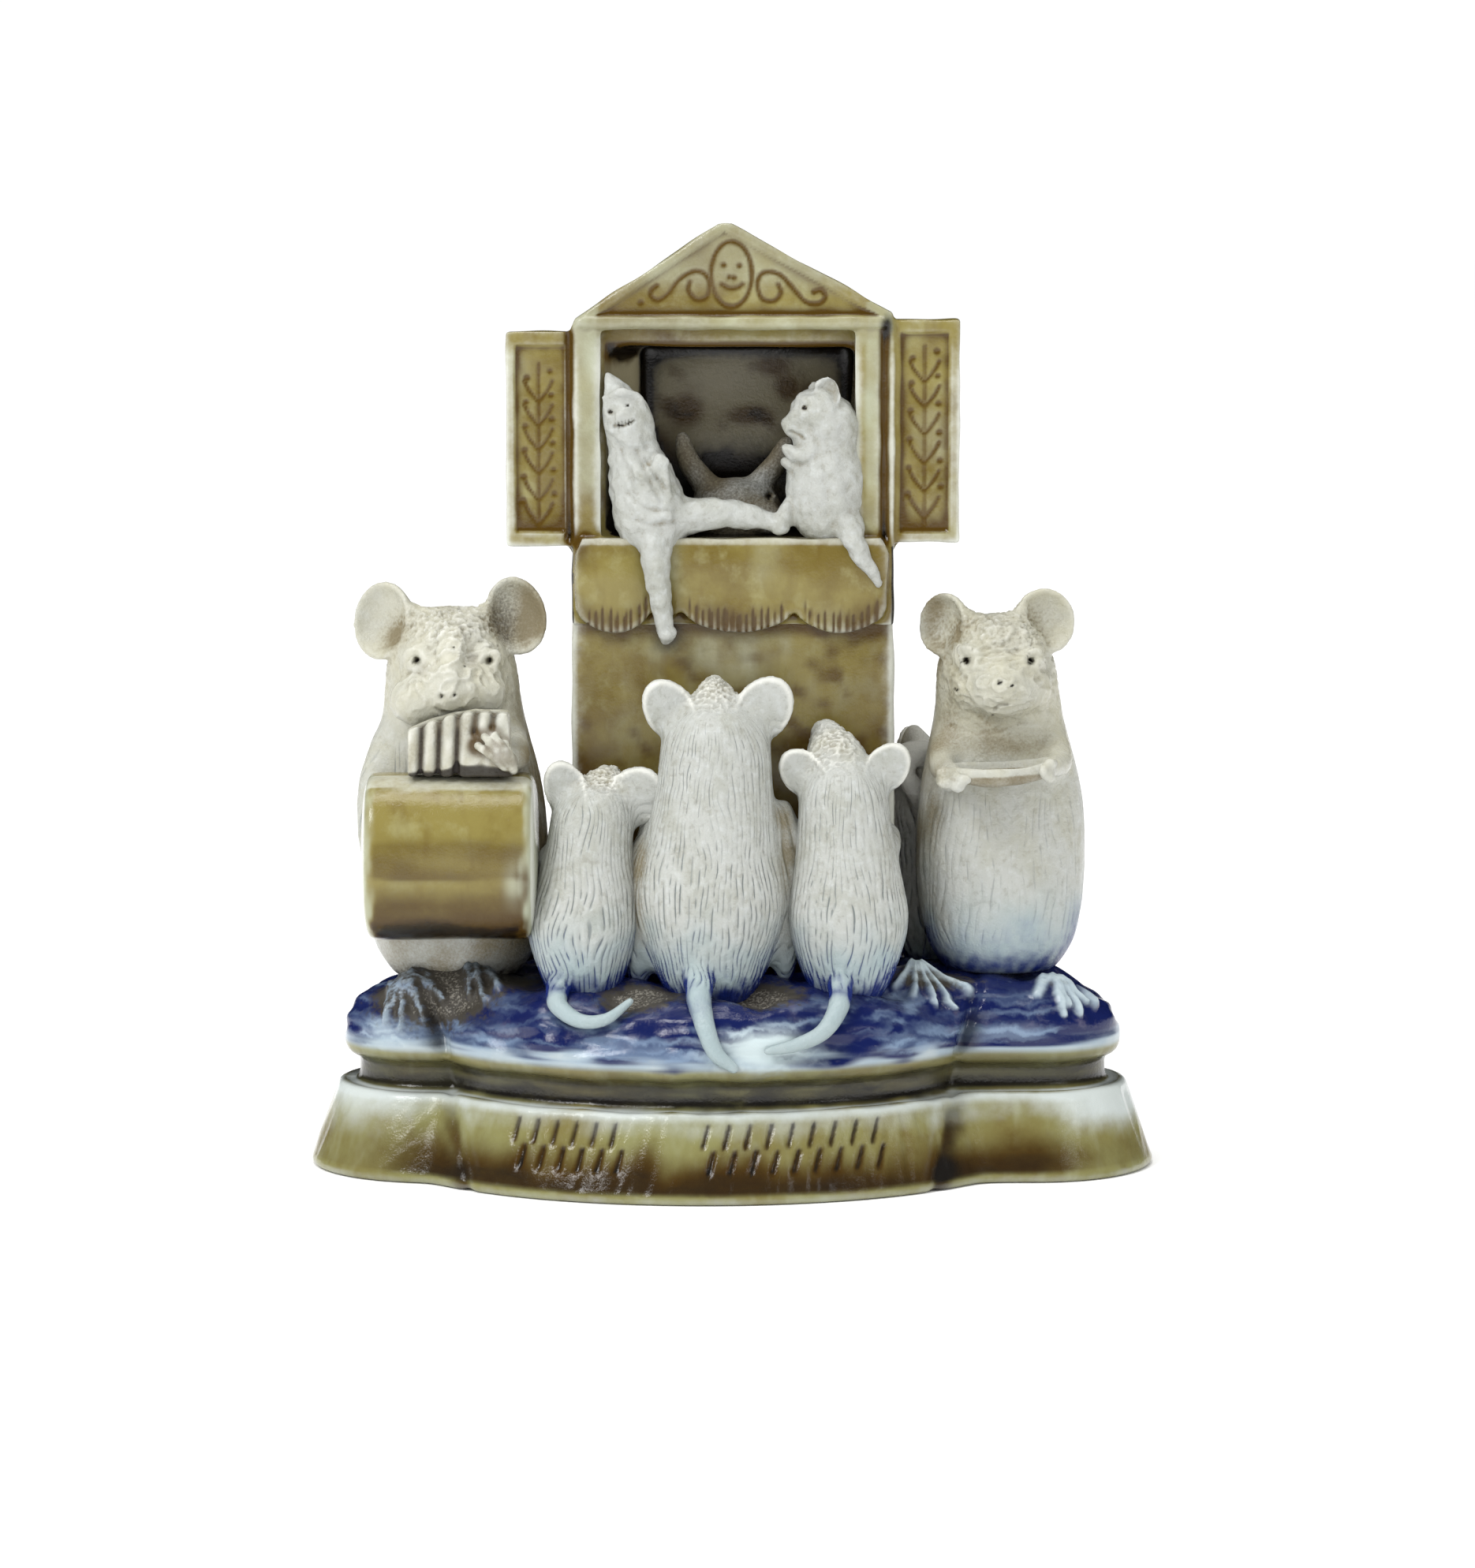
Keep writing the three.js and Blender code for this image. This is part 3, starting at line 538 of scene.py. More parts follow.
# %% [markdown]
# ### Waves, creases and hollows
# Fingers left faint waves on the plinth and knocks on the ground. The lobes meet in creases, and two deep
# hollows lie between the tails. All of it is added up as one relief and pressed in once at the end.

# %% Waves, creases and hollows
CREASES = [(-41.5, -0.9), (32.9, 0.9)]
HOLLOWS = [((3.9, -20.5, 27), (6.2, 5.5, 5), 1), ((-12.6, -20.5, 27), (5, 4.5, 5), 0.8)]
SWELLS = [
    ((-42, -8, 27), (9, 6, 5), 0.7), ((-11, -27, 23.5), (4.4, 3, 2.2), -0.9),
    ((5, -28.5, 22), (6.5, 3, 1.6), 0.6),
]


def outline_lumps(z, across, up, size, seed):
    """Unevenness that is drawn out along the outline and upwards by these two numbers."""
    return lumps(np.stack([around / across, z / up, 0 * z], -1), size, seed)


x, y, z = base.p.T
front_side = step(4, -8, y)
on_ground = step(18.2, 20.5, z)
on_side = step(0.6, 2, z) * step(12.2, 10.8, z)
relief = -0.22 * np.abs(outline_lumps(z, 9, 6, 2.6, 1)) * step(0.2, 1.5, z) * (z < 26)
relief += on_ground * (0.7 * lumps(base.p, 11, 2) + 0.3 * lumps(base.p * (0.7, 1, 1.6), 5, 3) - 0.45)
relief -= on_side * 0.12 * np.abs(outline_lumps(z, 2.2, 9, 1.4, 4))
crease_pool = np.zeros(len(z))
crease_light = np.zeros(len(z))
for crease_x, lean in CREASES:
    off = x - crease_x - lean * (z - 20) * 0.25
    outer_side = off * np.sign(crease_x)
    pool = np.exp(-((outer_side - 0.5) / np.where(outer_side > 0.5, 2.2, 0.8)) ** 2) * front_side
    crease_pool = np.maximum(crease_pool, pool)
    crease_light = np.maximum(crease_light, np.exp(-(((outer_side + 1.9) / 0.7) ** 2)) * front_side)
    depth = 0.35 + 1.0 * step(16.5, 19, z) * step(29, 25, z)
    relief -= np.exp(-((off / 0.8) ** 2)) * front_side * depth
pits = sum(share * bump_at(base.p, at, size) for at, size, share in HOLLOWS)
relief -= pits * (1.5 + 0.25 * lumps(base.p, 2.2, 5)) * on_ground
for at, size, rise in SWELLS:
    relief += rise * on_ground * bump_at(base.p, at, size)
print("relief so far in mm:", round(float(relief.min()), 2), "to", round(float(relief.max()), 2))

# %% [markdown]
# ### Heels and toes
# The grown mice stand on long thin toes pressed onto the ground. Each is a ridge along a line. Where the
# toes hang over the edge the line is drawn in the front view, and where they lie flat it is drawn from
# above, so that neither is stretched by the slope.

# %% Heels and toes
TOES = [
    ((-48.7, 29.6), (-52.2, 25.1)), ((-47.6, 29.4), (-49.4, 22.2)), ((-46.8, 29.4), (-47.1, 21.5)),
    ((-45.9, 29.4), (-43.9, 22.8)), ((-45.4, 29.4), (-41.2, 25.6)),
    ((-37.9, 29.6), (-37.2, 26.3)), ((-37.2, 29.6), (-35.1, 26.1)), ((-36.5, 29.6), (-33.0, 27.3)),
    ((45.0, 29.4), (43.2, 26.0)), ((45.6, 29.4), (47.2, 23.3)), ((46.2, 29.4), (49.4, 23.2)),
    ((46.8, 29.2), (51.6, 24.0)), ((47.2, 29.0), (53.4, 25.7)),
]
TOES_FROM_ABOVE = [
    ((-46.8, -7.8), (-50.6, -10.8)), ((-46.8, -8.2), (-48.9, -11.6)), ((-46.6, -8.2), (-47.0, -11.9)),
    ((-46.4, -8.2), (-44.6, -11.7)), ((-46.2, -7.8), (-42.4, -10.6)),
    ((45.4, -7.6), (43.4, -11.0)), ((45.6, -8.0), (46.7, -11.7)), ((45.9, -8.0), (48.7, -11.7)),
    ((46.2, -7.8), (51.0, -11.3)), ((46.4, -7.4), (53.2, -9.8)),
    ((25.6, -8.6), (23.2, -12.6)), ((26.0, -9.0), (26.0, -14.0)), ((26.6, -9.0), (28.9, -14.0)),
    ((27.0, -8.8), (31.6, -13.0)), ((27.0, -8.4), (33.8, -11.2)),
]
HEELS = [
    ((-46.8, -8.4, 28.6), 1.0), ((-37.2, -8.8, 28.6), 1.0),
    ((26.2, -8.0, 28.6), 1.9), ((45.6, -8.0, 28.6), 1.9),
]
HEEL_SIZE = (2.8, 3.4, 1.8)
TOE_HEIGHT = 1.15

knuckles = 0.08 * lumps(base.p, 1.6, 8)
half_width = 0.46 + 0.035 * np.clip(z - 22, 0, 7)
toe = np.zeros(len(z))
for path in TOES:
    off = near_path(base.p[:, [0, 2]], path) + knuckles
    toe = np.maximum(toe, np.exp(-((off / half_width) ** 2)))
toe *= step(-5, -8, y) * np.where(np.abs(x) > 40, step(28.4, 27.2, z), 1)
for path in TOES_FROM_ABOVE:
    off = near_path(base.p[:, :2], path) + knuckles
    toe = np.maximum(toe, np.exp(-((off / 0.55) ** 2)) * (z > 24))
relief += TOE_HEIGHT * toe
heels = np.zeros(len(z))
for heel, rise in HEELS:
    swell = bump_at(base.p, heel, HEEL_SIZE)
    relief += rise * swell
    heels = np.maximum(heels, swell)
base.move(relief)
toe = np.maximum(toe, 0.85 * step(0.5, 0.95, heels))
print(len(TOES) + len(TOES_FROM_ABOVE), "toe lines and", len(HEELS), "heels")

# %% [markdown]
# ### Strokes on the plinth
# Two groups of short slanting strokes are pressed into the front with a blunt tool. They are no letters.

# %% Strokes on the plinth
STROKE_ROWS = [(-31.2, -14.8, 6), (-4.8, 22.0, 9)]
STROKE_LEVELS = [(9.2, 1.35, -0.4), (5.7, 1.3, 0.4)]
STROKE_SLANT, STROKE_WIDTH, STROKE_DEPTH = 0.35, 0.42, 0.42

strokes = np.zeros(len(z))
for left_end, right_end, count in STROKE_ROWS:
    for number in range(count):
        middle = left_end + (right_end - left_end) * (number + 0.5) / count
        for level, tall, shift in STROKE_LEVELS:
            at = middle + shift
            path = [(at - STROKE_SLANT, level - tall), (at + STROKE_SLANT, level + tall)]
            cut = np.exp(-((near_path(base.p[:, [0, 2]], path) / STROKE_WIDTH) ** 2))
            strokes = np.maximum(strokes, cut * (base.p[:, 1] < -20))
base.move(-STROKE_DEPTH * strokes)
print(2 * sum(count for _, _, count in STROKE_ROWS), "strokes")

# %% [markdown]
# ### Where glaze lies on the plinth
# Iron glaze thickens towards the foot, in the creases and in the groove, where painted shade under the
# ground's overhang deepens it, and it breaks to white on the arris and the lip. Cobalt brushed over the
# ground ran down to the lip, and sand stuck in the hollows as a crust.
# Each of these is one mask, worked out from height, place and the relief.

# %% Iron, and where it breaks to white
PLINTH_HEIGHT = 12.3

x, y, z = base.p.T
aside = np.abs(x)
up = z / PLINTH_HEIGHT
streak = outline_lumps(z, 7, 1, 1.5, 6)
drift = outline_lumps(z, 5, 6, 2.0, 7)
broken = step(-0.5, 0.4, outline_lumps(z, 5, 6, 2.0, 9))
brown = step(0.8, 0.2, up + 0.1 * drift) * step(0.07, 0.16, up)
brown = brown * (1 - 0.6 * step(42, 54, aside))
brown = np.maximum(brown, 0.9 * crease_pool * step(1.0, 0.55, up))
# Dark glaze pooled in the groove, deepened by painted shade under the ground's overhang.
dark = 0.74 + 0.25 * bump_at(z[:, None], (13.2,), (0.7,)) + 0.12 * streak
dark = dark * step(11.7, 12.9, z + 0.25 * drift) * step(18.9, 15.4, z + 0.5 * streak)
dark += 0.7 * crease_pool * step(26, 22, z) * step(17.5, 19, z)
dark += 0.6 * crease_pool * step(12.5, 10, z) * (0.4 + 0.6 * (x > 0))
foot = step(0.5, 0.12, up + 0.08 * drift) * step(0.07, 0.14, up)
dark += 0.62 * step(0.35, 0.85, strokes) + 0.6 * foot * step(52, 42, aside)
arris = 0.48 * step(7.4, 11, z + 0.5 * drift) + 0.55 * step(10.6, 12, z)
rim = np.maximum(0.8 * step(1.5, 0.6, z), arris * step(12.5, 12.1, z))
lip = step(17.3, 18.7, z) * step(20.0, 18.6, z + 0.7 * streak) * (0.4 + 0.6 * broken)
white = 0.75 * rim * (1 - 0.5 * step(2.5, 1, z)) + 0.5 * lip + 0.14 * crease_light * on_side
white += 0.14 * toe * (x < 0)
ends = step(40, 54, aside) * step(3.5, 9.5, z) * step(12.6, 12.0, z)
white += (0.42 + 0.3 * (x > 0)) * ends
print("mean of the iron and the white:", round(float(brown.mean()), 2), round(float(white.mean()), 2))

# %% Cobalt, crust and the pale runs
CRUSTS = [
    ((3.9, -19.5, 26.5), (6.2, 5, 4), 1.5), ((-12.8, -20.5, 27), (6, 4.5, 3.4), 1.4),
    ((-41.0, -9.5, 27), (12, 7.4, 5.2), 1.8), ((29, -10, 28.4), (6, 5, 2), 1.3),
    ((47, -9, 28.4), (5, 4, 2.4), 0.8),
]

blue = step(17.5, 20.3, z + 0.9 * streak - 0.9 * broken) * (1 - 0.92 * toe)
thin_cobalt = step(18.6, 19.6, z) * (0.7 + 0.3 * step(23.5, 20.5, z))
thin_cobalt = thin_cobalt * step(52, 42, x) * step(29.5, 26.5, z)
thin_cobalt = thin_cobalt * np.clip(0.95 + 0.4 * lumps(base.p * (0.6, 1, 1), 8, 9), 0.45, 1)
crust = sum(share * bump_at(base.p, at, size) for at, size, share in CRUSTS)
crust = crust + 0.6 * step(6, 16, y) * (z > 20)
pale = 0.5 * toe * (x > 0) + 1.2 * bump_at(base.p, (5.5, -28.5, 21), (7.5, 4, 2.6))
pale += 0.5 * bump_at(base.p, (-52, -14, 20), (7, 6, 3))
base.masks = {
    "around": around,
    "brown": brown + 0.8 * strokes + 0.35 * toe * (x < 0),
    "dark": dark,
    "white": white,
    "ground": step(17.2, 19.0, z),
    "blue": blue,
    "streak": thin_cobalt,
    "crust": np.clip(crust, 0, 1) * (1 - 0.55 * toe),
    "pale": pale,
}
print("masks of the plinth and ground:", ", ".join(base.masks))

# %% [markdown]
# ## The mice
# A body is a leaning stack of ovals, and its head is the narrow top of the same lump of clay. The grown
# mice are broad cones with a thick neck. The young ones are slimmer, with the head bent back to look up.

# %% Profiles of the bodies
GROWN_ROWS = [
    [0, 0.66, 0.7, 0], [0.1, 0.9, 0.92, 0], [0.28, 1, 1, 0], [0.5, 0.96, 0.95, 0],
    [0.72, 0.76, 0.8, 0.5], [0.86, 0.69, 0.75, 0.9], [0.95, 0.53, 0.6, 1], [0.99, 0.3, 0.34, 1],
    [1, 0.04, 0.04, 1],
]
YOUNG_ROWS = [
    [0, 0.5, 0.54, 0], [0.12, 0.76, 0.8, 0], [0.34, 1, 1, 0], [0.53, 0.91, 0.92, 0.3],
    [0.72, 0.79, 0.82, 0.7], [0.88, 0.72, 0.76, 1], [0.97, 0.5, 0.56, 1.2], [1, 0.06, 0.06, 1.2],
]


def bodied(mouse, rows):
    """The body of a mouse: its own sizes on one of the two profiles."""
    return leaning_body(mouse["seat"], mouse["height"], mouse["wide"], mouse["deep"], mouse["lean"], rows)


print("rows of shares:", len(GROWN_ROWS), "for the grown mice,", len(YOUNG_ROWS), "for the young ones")

# %% [markdown]
# ### Working a figure
# The soft masses are joined first, as a coarse skin that is smoothed a lot, and crisp parts such as ears
# and fingers after them. Then the tools come: a pin for eyes, a point that scores lines, and clay raised in
# rings and curls. Each is a formula of the distance from a place or line, and cuts are remembered, because
# glaze will gather in them.

# %% A figure and its tools
class Figure(Surface):
    """A clay figure: parts pressed together, smoothed as a coarse skin, then worked as a fine one."""

    def __init__(self, soft, crisp, voxel, coarse=0.7, soften=10, settle=3):
        if soft:
            core, core_quads = fused(soft, coarse)
            core = averaged(core, edges_of(core_quads), soften)
            crisp = [(core, core_quads.tolist()), *crisp]
        points, quads = fused(crisp, voxel)
        points = averaged(points, edges_of(quads), settle)
        super().__init__(points, quads)
        self.cut = np.zeros(len(points))
        self.turn = np.full(len(points), 0.5)
        self.comb = np.zeros(len(points))

    def from_front(self, centre):
        """Distances from a place, seen from the front."""
        return np.linalg.norm(self.p[:, [0, 2]] - centre, axis=1)

    def facing_front(self, behind=99.0):
        """1 where the surface looks to the front and lies before a depth."""
        return step(-0.1, -0.45, self.n[:, 1]) * (self.p[:, 1] < behind)

    def pit(self, centre, radius, depth, behind=99.0):
        """A round hole pressed straight back: depth * exp(-(d / radius)^4), d seen from the front."""
        shape = np.exp(-((self.from_front(centre) / radius) ** 4)) * self.facing_front(behind)
        self.cut = np.maximum(self.cut, shape)
        self.p = self.p + np.array([0, 1, 0]) * (depth * shape)[:, None]
        self.n = normals_of(self.p, self.quads)

    def score(self, paths, width, depth, mark=1.0):
        """Grooves along lines drawn on the front: depth * exp(-(d / width)^2), d seen from the front."""
        flat, best = self.p[:, [0, 2]], np.full(len(self.p), 99.0)
        for path in paths:
            best = np.minimum(best, near_path(flat, path))
        shape = np.exp(-((best / width) ** 2)) * self.facing_front()
        self.cut = np.maximum(self.cut, mark * shape)
        self.move(-depth * shape)

    def mound(self, centre, radius, height, width):
        """A ring on the front, higher above: height * exp(-((d - radius) / width)^2), d seen from there."""
        over = 0.65 + 0.35 * np.clip((self.p[:, 2] - centre[1]) / radius, -1, 1)
        ring = np.exp(-(((self.from_front(centre) - radius) / width) ** 2))
        self.move(height * over * ring * self.facing_front())

    def rough(self, where, size, height, seed, stretch=(1, 1, 1)):
        """Curls and crumbs: the ridges 1 - |waves| of a seeded field."""
        ridges = 1 - np.minimum(np.abs(lumps(self.p * stretch, size, seed, 24)) * 1.6, 1)
        self.move(height * where * ridges)
        return ridges * where


def arcs(centre, radii, start, stop):
    """Part circles seen from the front: c + r (cos t, sin t) in X and Z, t in degrees."""
    t = np.radians(np.linspace(start, stop, 11))[:, None]
    return [np.asarray(centre) + r * np.concatenate([np.cos(t), np.sin(t)], 1) for r in radii]


print("tools: pit, score, mound, rough")

# %% [markdown]
# ### Combed fur
# Fur is combed in with a pointed tool: dashes that run down the body side by side, so they crowd at the
# neck and fan out over the hips. The angle round the body counts them and the height breaks them up. Full
# relief would need millions of faces, so a faint one is pressed in, and the two numbers that it is made of
# go to the glaze, which draws the thin line itself.

# %% Combed fur
def comb_fur(figure, body, stripes, depth, where, seed, dash=7.0, width=0.3, mark=0.6):
    """Dashes down the body: stripe k lies at angle 2 pi k / stripes, broken along z at a seeded phase."""
    seat, height, lean = np.array(body["seat"], float), body["height"], body["lean"]
    p = figure.p
    rise = np.clip((p[:, 2] - seat[2]) / height, 0, 1)
    x = p[:, 0] - seat[0] - lean[0] * rise
    y = p[:, 1] - seat[1] - lean[1] * rise
    turn = np.arctan2(x, -y) / (2 * np.pi) * stripes
    turn = turn + 0.7 * lumps(p * (1, 1, 0.45), 6.5, seed) + 0.2 * lumps(p * (1, 1, 0.5), 2.8, seed + 1)
    number = np.round(turn)
    numbers = 8 * stripes
    key = (number.astype(int) + 4 * stripes) % numbers
    rng = np.random.default_rng(seed + 2)
    phase, long = rng.uniform(0, 1, numbers), rng.uniform(0.7, 1.5, numbers)
    deep, side = rng.uniform(0.5, 1, numbers), rng.uniform(-0.18, 0.18, numbers)
    across = (turn - number - side[key]) * (2 * np.pi * np.maximum(np.hypot(x, y), 1) / stripes)
    along = (p[:, 2] / (dash * long[key]) + phase[key]) % 1
    dashes = step(0.0, 0.16, along) * step(1.0, 0.72, along)
    shape = np.exp(-((across / width) ** 2)) * dashes * deep[key] * where
    ridge = np.exp(-(((np.abs(across) - 2.1 * width) / (0.8 * width)) ** 2)) * dashes * where
    gate = mark * dashes * deep[key] * where
    figure.turn = np.where(gate >= figure.comb, turn - side[key], figure.turn)
    figure.comb = np.maximum(figure.comb, gate)
    figure.move(-depth * shape + 0.22 * depth * ridge)


print("comb ready")

# %% [markdown]
# ### Where glaze lies on a figure
# The mice carry a pale glaze. Cobalt from the ground creeps up into it and into the combed lines, painted
# shade darkens the hollows, dirt and painted shade lie where each figure is told, and edges are nearly white,
# as glaze runs off them.

# %% Masks of a pale figure
def glaze_masks(figure, blue_from, blue_to, dirt, seed, pale=1.0):
    """Cobalt between two heights and in hollows, dirt and painted shade where told and in hollows, white on
    edges.
    """
    z = figure.p[:, 2]
    fine, hollow, wide = figure.hollow(2), figure.hollow(8), figure.hollow(60)
    cloud = lumps(figure.p, 6, seed)
    creep = step(blue_to, blue_from, z + 1.3 * cloud)
    ragged = 1.1 * lumps(figure.p * (1.2, 1, 0.7), 3, seed + 1)
    deep_blue = step(blue_from + 4.2, blue_from - 1.8, z + ragged)
    caught = 0.25 * np.clip(figure.comb + 1.5 * hollow, 0, 1)
    caught += 0.75 * creep * step(0.6, 0.95, np.abs(figure.n[:, 0]))
    blue = (0.85 * deep_blue + creep * caught) * pale
    blue += 0.5 * (1 - pale) * step(0.02, 0.25, wide) * (z < 32)
    # Dirt and painted shade from the figure's own mask, and painted shade in the fine, middle and wide
    # hollows.
    grime_and_shade = dirt * (0.75 + 0.4 * cloud + 9 * np.clip(fine, 0, 0.05)) + 0.2 * np.clip(wide, 0, 1.5)
    grime_and_shade += 2.2 * np.clip(hollow, 0, 0.2) * np.clip(1 - 3 * figure.comb, 0, 1)
    figure.masks = {
        "cut": np.clip(figure.cut, 0, 1), "comb": figure.comb, "turn": figure.turn, "tint": creep,
        "blue": np.clip(blue, 0, 1), "dirt": grime_and_shade, "edge": np.clip(-1.7 * hollow, 0, 0.6),
    }
    print("   ", 2 * len(figure.quads), "triangles")


figures = {}

# %% [markdown]
# ### The drummer
# A grown mouse on the left with round ears turned half outwards, pin-hole eyes in small mounds, and carved
# whiskers. Each bulge of the face is an egg of its own, as it was on the potter's table.

# %% The drummer's clay
DRUMMER = {"seat": (-39.8, 0.6, 27), "height": 53.4, "wide": 13.3, "deep": 11, "lean": (-0.4, -1.6)}
DRUMMER_SOFT = [
    bodied(DRUMMER, GROWN_ROWS),
    egg((-40.2, -8.2, 70), (5.6, 6.4, 4.6), tip=14),
    egg((-44.3, -9.4, 67.7), (4.5, 4.0, 3.6)), egg((-35.8, -8.4, 68.9), (3.9, 3.6, 3.5)),
    egg((-40, -5.4, 76.2), (5.4, 3.8, 3.4)),
    egg((-44.7, -7.6, 73.6), (2.0, 1.7, 1.7)), egg((-34.4, -7.7, 73.8), (2.0, 1.8, 1.7)),
    rolled([(-47.2, -3.4, 82.0), (-44.6, -4.2, 79.2), (-42, -5, 77.6)], [0.8, 1.7, 2.4]),
    rolled([(-34.0, -3.4, 81.6), (-36.4, -4.2, 79.0), (-38.6, -5, 77.6)], [0.8, 1.7, 2.4]),
    rolled([(-48.4, -2, 61), (-51.2, -5, 54), (-51.4, -11, 46)], [3.4, 2.6, 1.7]),
    rolled([(-31.8, -4, 62.4), (-30.6, -11, 60), (-32.6, -15.4, 61)], [2.6, 2.2, 1.6]),
]
DRUMMER_CRISP = [
    cupped_ear((-49.3, -1.8, 78.5), (-0.6, -1, 0.1), (4.7, 3.0, 5.5), -12),
    cupped_ear((-31.0, -1.8, 79.3), (0.2, -1, 0.05), (4.2, 3.2, 5.5), 14),
    rolled([(-39.6, -8.4, 76.4), (-39.8, -11.6, 72.8), (-40, -13.0, 69.7)], [1.8, 1.7, 1.5], 20),
    rolled([(-34, 9, 29), (-30, 15.5, 28.6), (-38, 15.5, 27.2), (-47, 11.5, 25.6)], [1.9, 1.6, 1.2, 0.7], 40),
]
print("drummer:", len(DRUMMER_SOFT), "soft and", len(DRUMMER_CRISP), "crisp pieces of clay")

# %% [markdown]
# The brow is crumbled into curls and the muzzle roughened. Fur is combed into the flanks, whiskers and
# mouth are scored, the eyes get mounds, and the pin goes in last so that nothing closes its holes.

# %% The drummer's fur and face
DRUMMER_HOLES = [
    ((-44.6, 73.5), 0.56, 1.5), ((-34.4, 73.5), 0.56, 1.5), ((-40.9, 69.0), 0.34, 0.45),
    ((-39.0, 69.2), 0.34, 0.45), ((-37.7, 73.0), 0.26, 0.4), ((-39.3, 75.6), 0.22, 0.3),
]


def work_drummer():
    figure = Figure(DRUMMER_SOFT, DRUMMER_CRISP, 0.345)
    p = figure.p
    brow = bump_at(p, (-39.5, -6, 78.6), (5.4, 6, 2.8))
    curls = figure.rough(np.clip(1.5 * brow, 0, 1), 1.2, 0.7, 20, (0.8, 1, 1.2))
    muzzle = bump_at(p, (-40, -8, 71), (9, 9, 7))
    figure.rough(np.clip(1.4 * muzzle, 0, 1), 2.4, 0.42, 23, (0.7, 1, 1.1))
    flanks = step(66, 58, p[:, 2]) * step(37, 44, p[:, 2])
    comb_fur(figure, DRUMMER, 52, 0.2, flanks * 0.8, 21, 8, 0.3, 0.6)
    whiskers = arcs((-44.6, 69.4), (1.6, 2.6), 60, 150) + arcs((-36.4, 70.2), (1.4, 2.3, 3.2), 10, 80)
    figure.score([*whiskers, *arcs((-34.3, 73.4), (1.9,), 80, 170)], 0.26, 0.24, 0.16)
    figure.score([[(-41.9, 67.1), (-40.8, 66.5), (-39.3, 66.4), (-38.0, 67.0)]], 0.3, 0.45, 0.7)
    figure.mound((-44.7, 73.6), 1.3, 0.5, 0.6)
    figure.mound((-34.5, 73.9), 1.45, 0.56, 0.65)
    for place, radius, depth in DRUMMER_HOLES:
        figure.pit(place, radius, depth)
    return figure, curls


drummer, drummer_curls = work_drummer()
print("drummer:", len(drummer.p), "corners")

# %% [markdown]
# Dirt sits in the ears, in the curls and behind. Painted shade lies on the right side, towards the booth,
# and on the belly under the drum, and a painted highlight lightens the face. The face is creamier than the
# body, the feet are crusted with sand, and two brown blots lie between the eyes.

# %% The drummer's glaze
def glaze_drummer(figure, curls):
    p = figure.p
    x, y, z = p.T
    ears = bump_at(p, (-47.6, -3.4, 77.4), (3.4, 2.2, 3.6))
    ears = ears + 1.1 * bump_at(p, (-32.4, -3.6, 78.4), (3.2, 2.2, 3.6))
    # Painted shade on the right side, which faces the booth.
    right = step(-33, -27.5, x) * step(40, 60, z) + 0.8 * step(-29.5, -27, x)
    rear = 0.55 * step(2, 9, y)
    # Painted shadow of the drum on the belly.
    shade_under = step(36.5, 34, z) * step(0, -4, y)
    glaze_masks(figure, 15, 16, np.clip(0.95 * ears + right + rear + 0.45 * curls + 0.7 * shade_under, 0, 1), 22)
    masks = figure.masks
    flat = p[:, [0, 2]]
    blots = bump_at(flat, (-36.6, 73.6), (1.0, 1.5)) + bump_at(flat, (-43.5, 72.6), (1.0, 1.1))
    masks["brown"] = 0.4 * blots * figure.facing_front()
    eyes = bump_at(p, (-44.7, -10, 73.6), (2.2, 5, 2.2)) + bump_at(p, (-34.5, -10, 73.9), (2.3, 5, 2.3))
    # Less white round the eyes, and a painted highlight over the face.
    masks["edge"] = masks["edge"] * (1 - 0.75 * eyes) + 0.34 * bump_at(p, (-40, -9, 74), (8, 8, 7))
    masks["cream"] = (0.5 + 0.35 * step(62, 68, z)) * step(2, -2, y) * step(38, 46, z)
    inner_ear = bump_at(p, (-31.4, -3.4, 79.2), (3.6, 2.4, 5.0)) * step(-28.5, -32, x)
    sandy = step(31, 27.5, z) * (0.7 + 0.3 * lumps(p, 1.5, 24))
    masks["crust"] = 0.12 * np.clip(ears, 0, 1) * (z > 70) + 0.75 * inner_ear + 0.85 * sandy
    masks["cut"] *= 0.9


glaze_drummer(drummer, drummer_curls)
figures["drummer"] = drummer

# %% [markdown]
# ### The drum
# The drum is a barrel lying along X, nearly square in section: a superellipse, with a very high power of
# the place along the axis for its flat ends. Iron glaze lies on it in bands, as it ran while the piece stood
# in the kiln. Painted shade darkens the lower half downwards and makes the underside nearly black, and a
# painted highlight runs along the top of the front.

# %% The drum's clay
DRUM_AT, DRUM_RADIUS, DRUM_HALF = (-39.85, -11.6, 46.0), 11.8, 12.45
DRUM_ROWS, DRUM_COLUMNS = 90, 160
DRUM_SQUARENESS, DRUM_END_SQUARENESS, DRUM_DEPTH_SHARE = 2.5, 26, 0.93


def shape_drum():
    """x = h sin(b); r = R (1 - |x / h|^26)^0.35; section r (|cos a|^n + |sin a|^n)^(-1/n) (cos a, sin a)."""
    u = np.linspace(0, 1, DRUM_ROWS)
    along = DRUM_HALF * np.sin(np.pi * (u - 0.5))
    radius = DRUM_RADIUS * np.clip(1 - ((np.abs(along) / DRUM_HALF) ** DRUM_END_SQUARENESS), 0, 1) ** 0.35
    a = np.linspace(0, 2 * np.pi, DRUM_COLUMNS, endpoint=False)
    c, s = np.cos(a), np.sin(a)
    squared = (np.abs(c) ** DRUM_SQUARENESS + np.abs(s) ** DRUM_SQUARENESS) ** (-1 / DRUM_SQUARENESS)
    y = DRUM_AT[1] + radius[:, None] * (squared * c)[None, :] * DRUM_DEPTH_SHARE
    z = DRUM_AT[2] + radius[:, None] * (squared * s)[None, :]
    x = DRUM_AT[0] + along[:, None] + 0 * y
    points = np.stack([x, y, z], -1).reshape(-1, 3)
    shape = Surface(points, grid_quads(DRUM_ROWS, DRUM_COLUMNS))
    shape.move(0.12 * lumps(points * (0.6, 1, 1), 11, 30) - 0.1)
    return shape


drum = shape_drum()
print("drum:", len(drum.p), "corners")

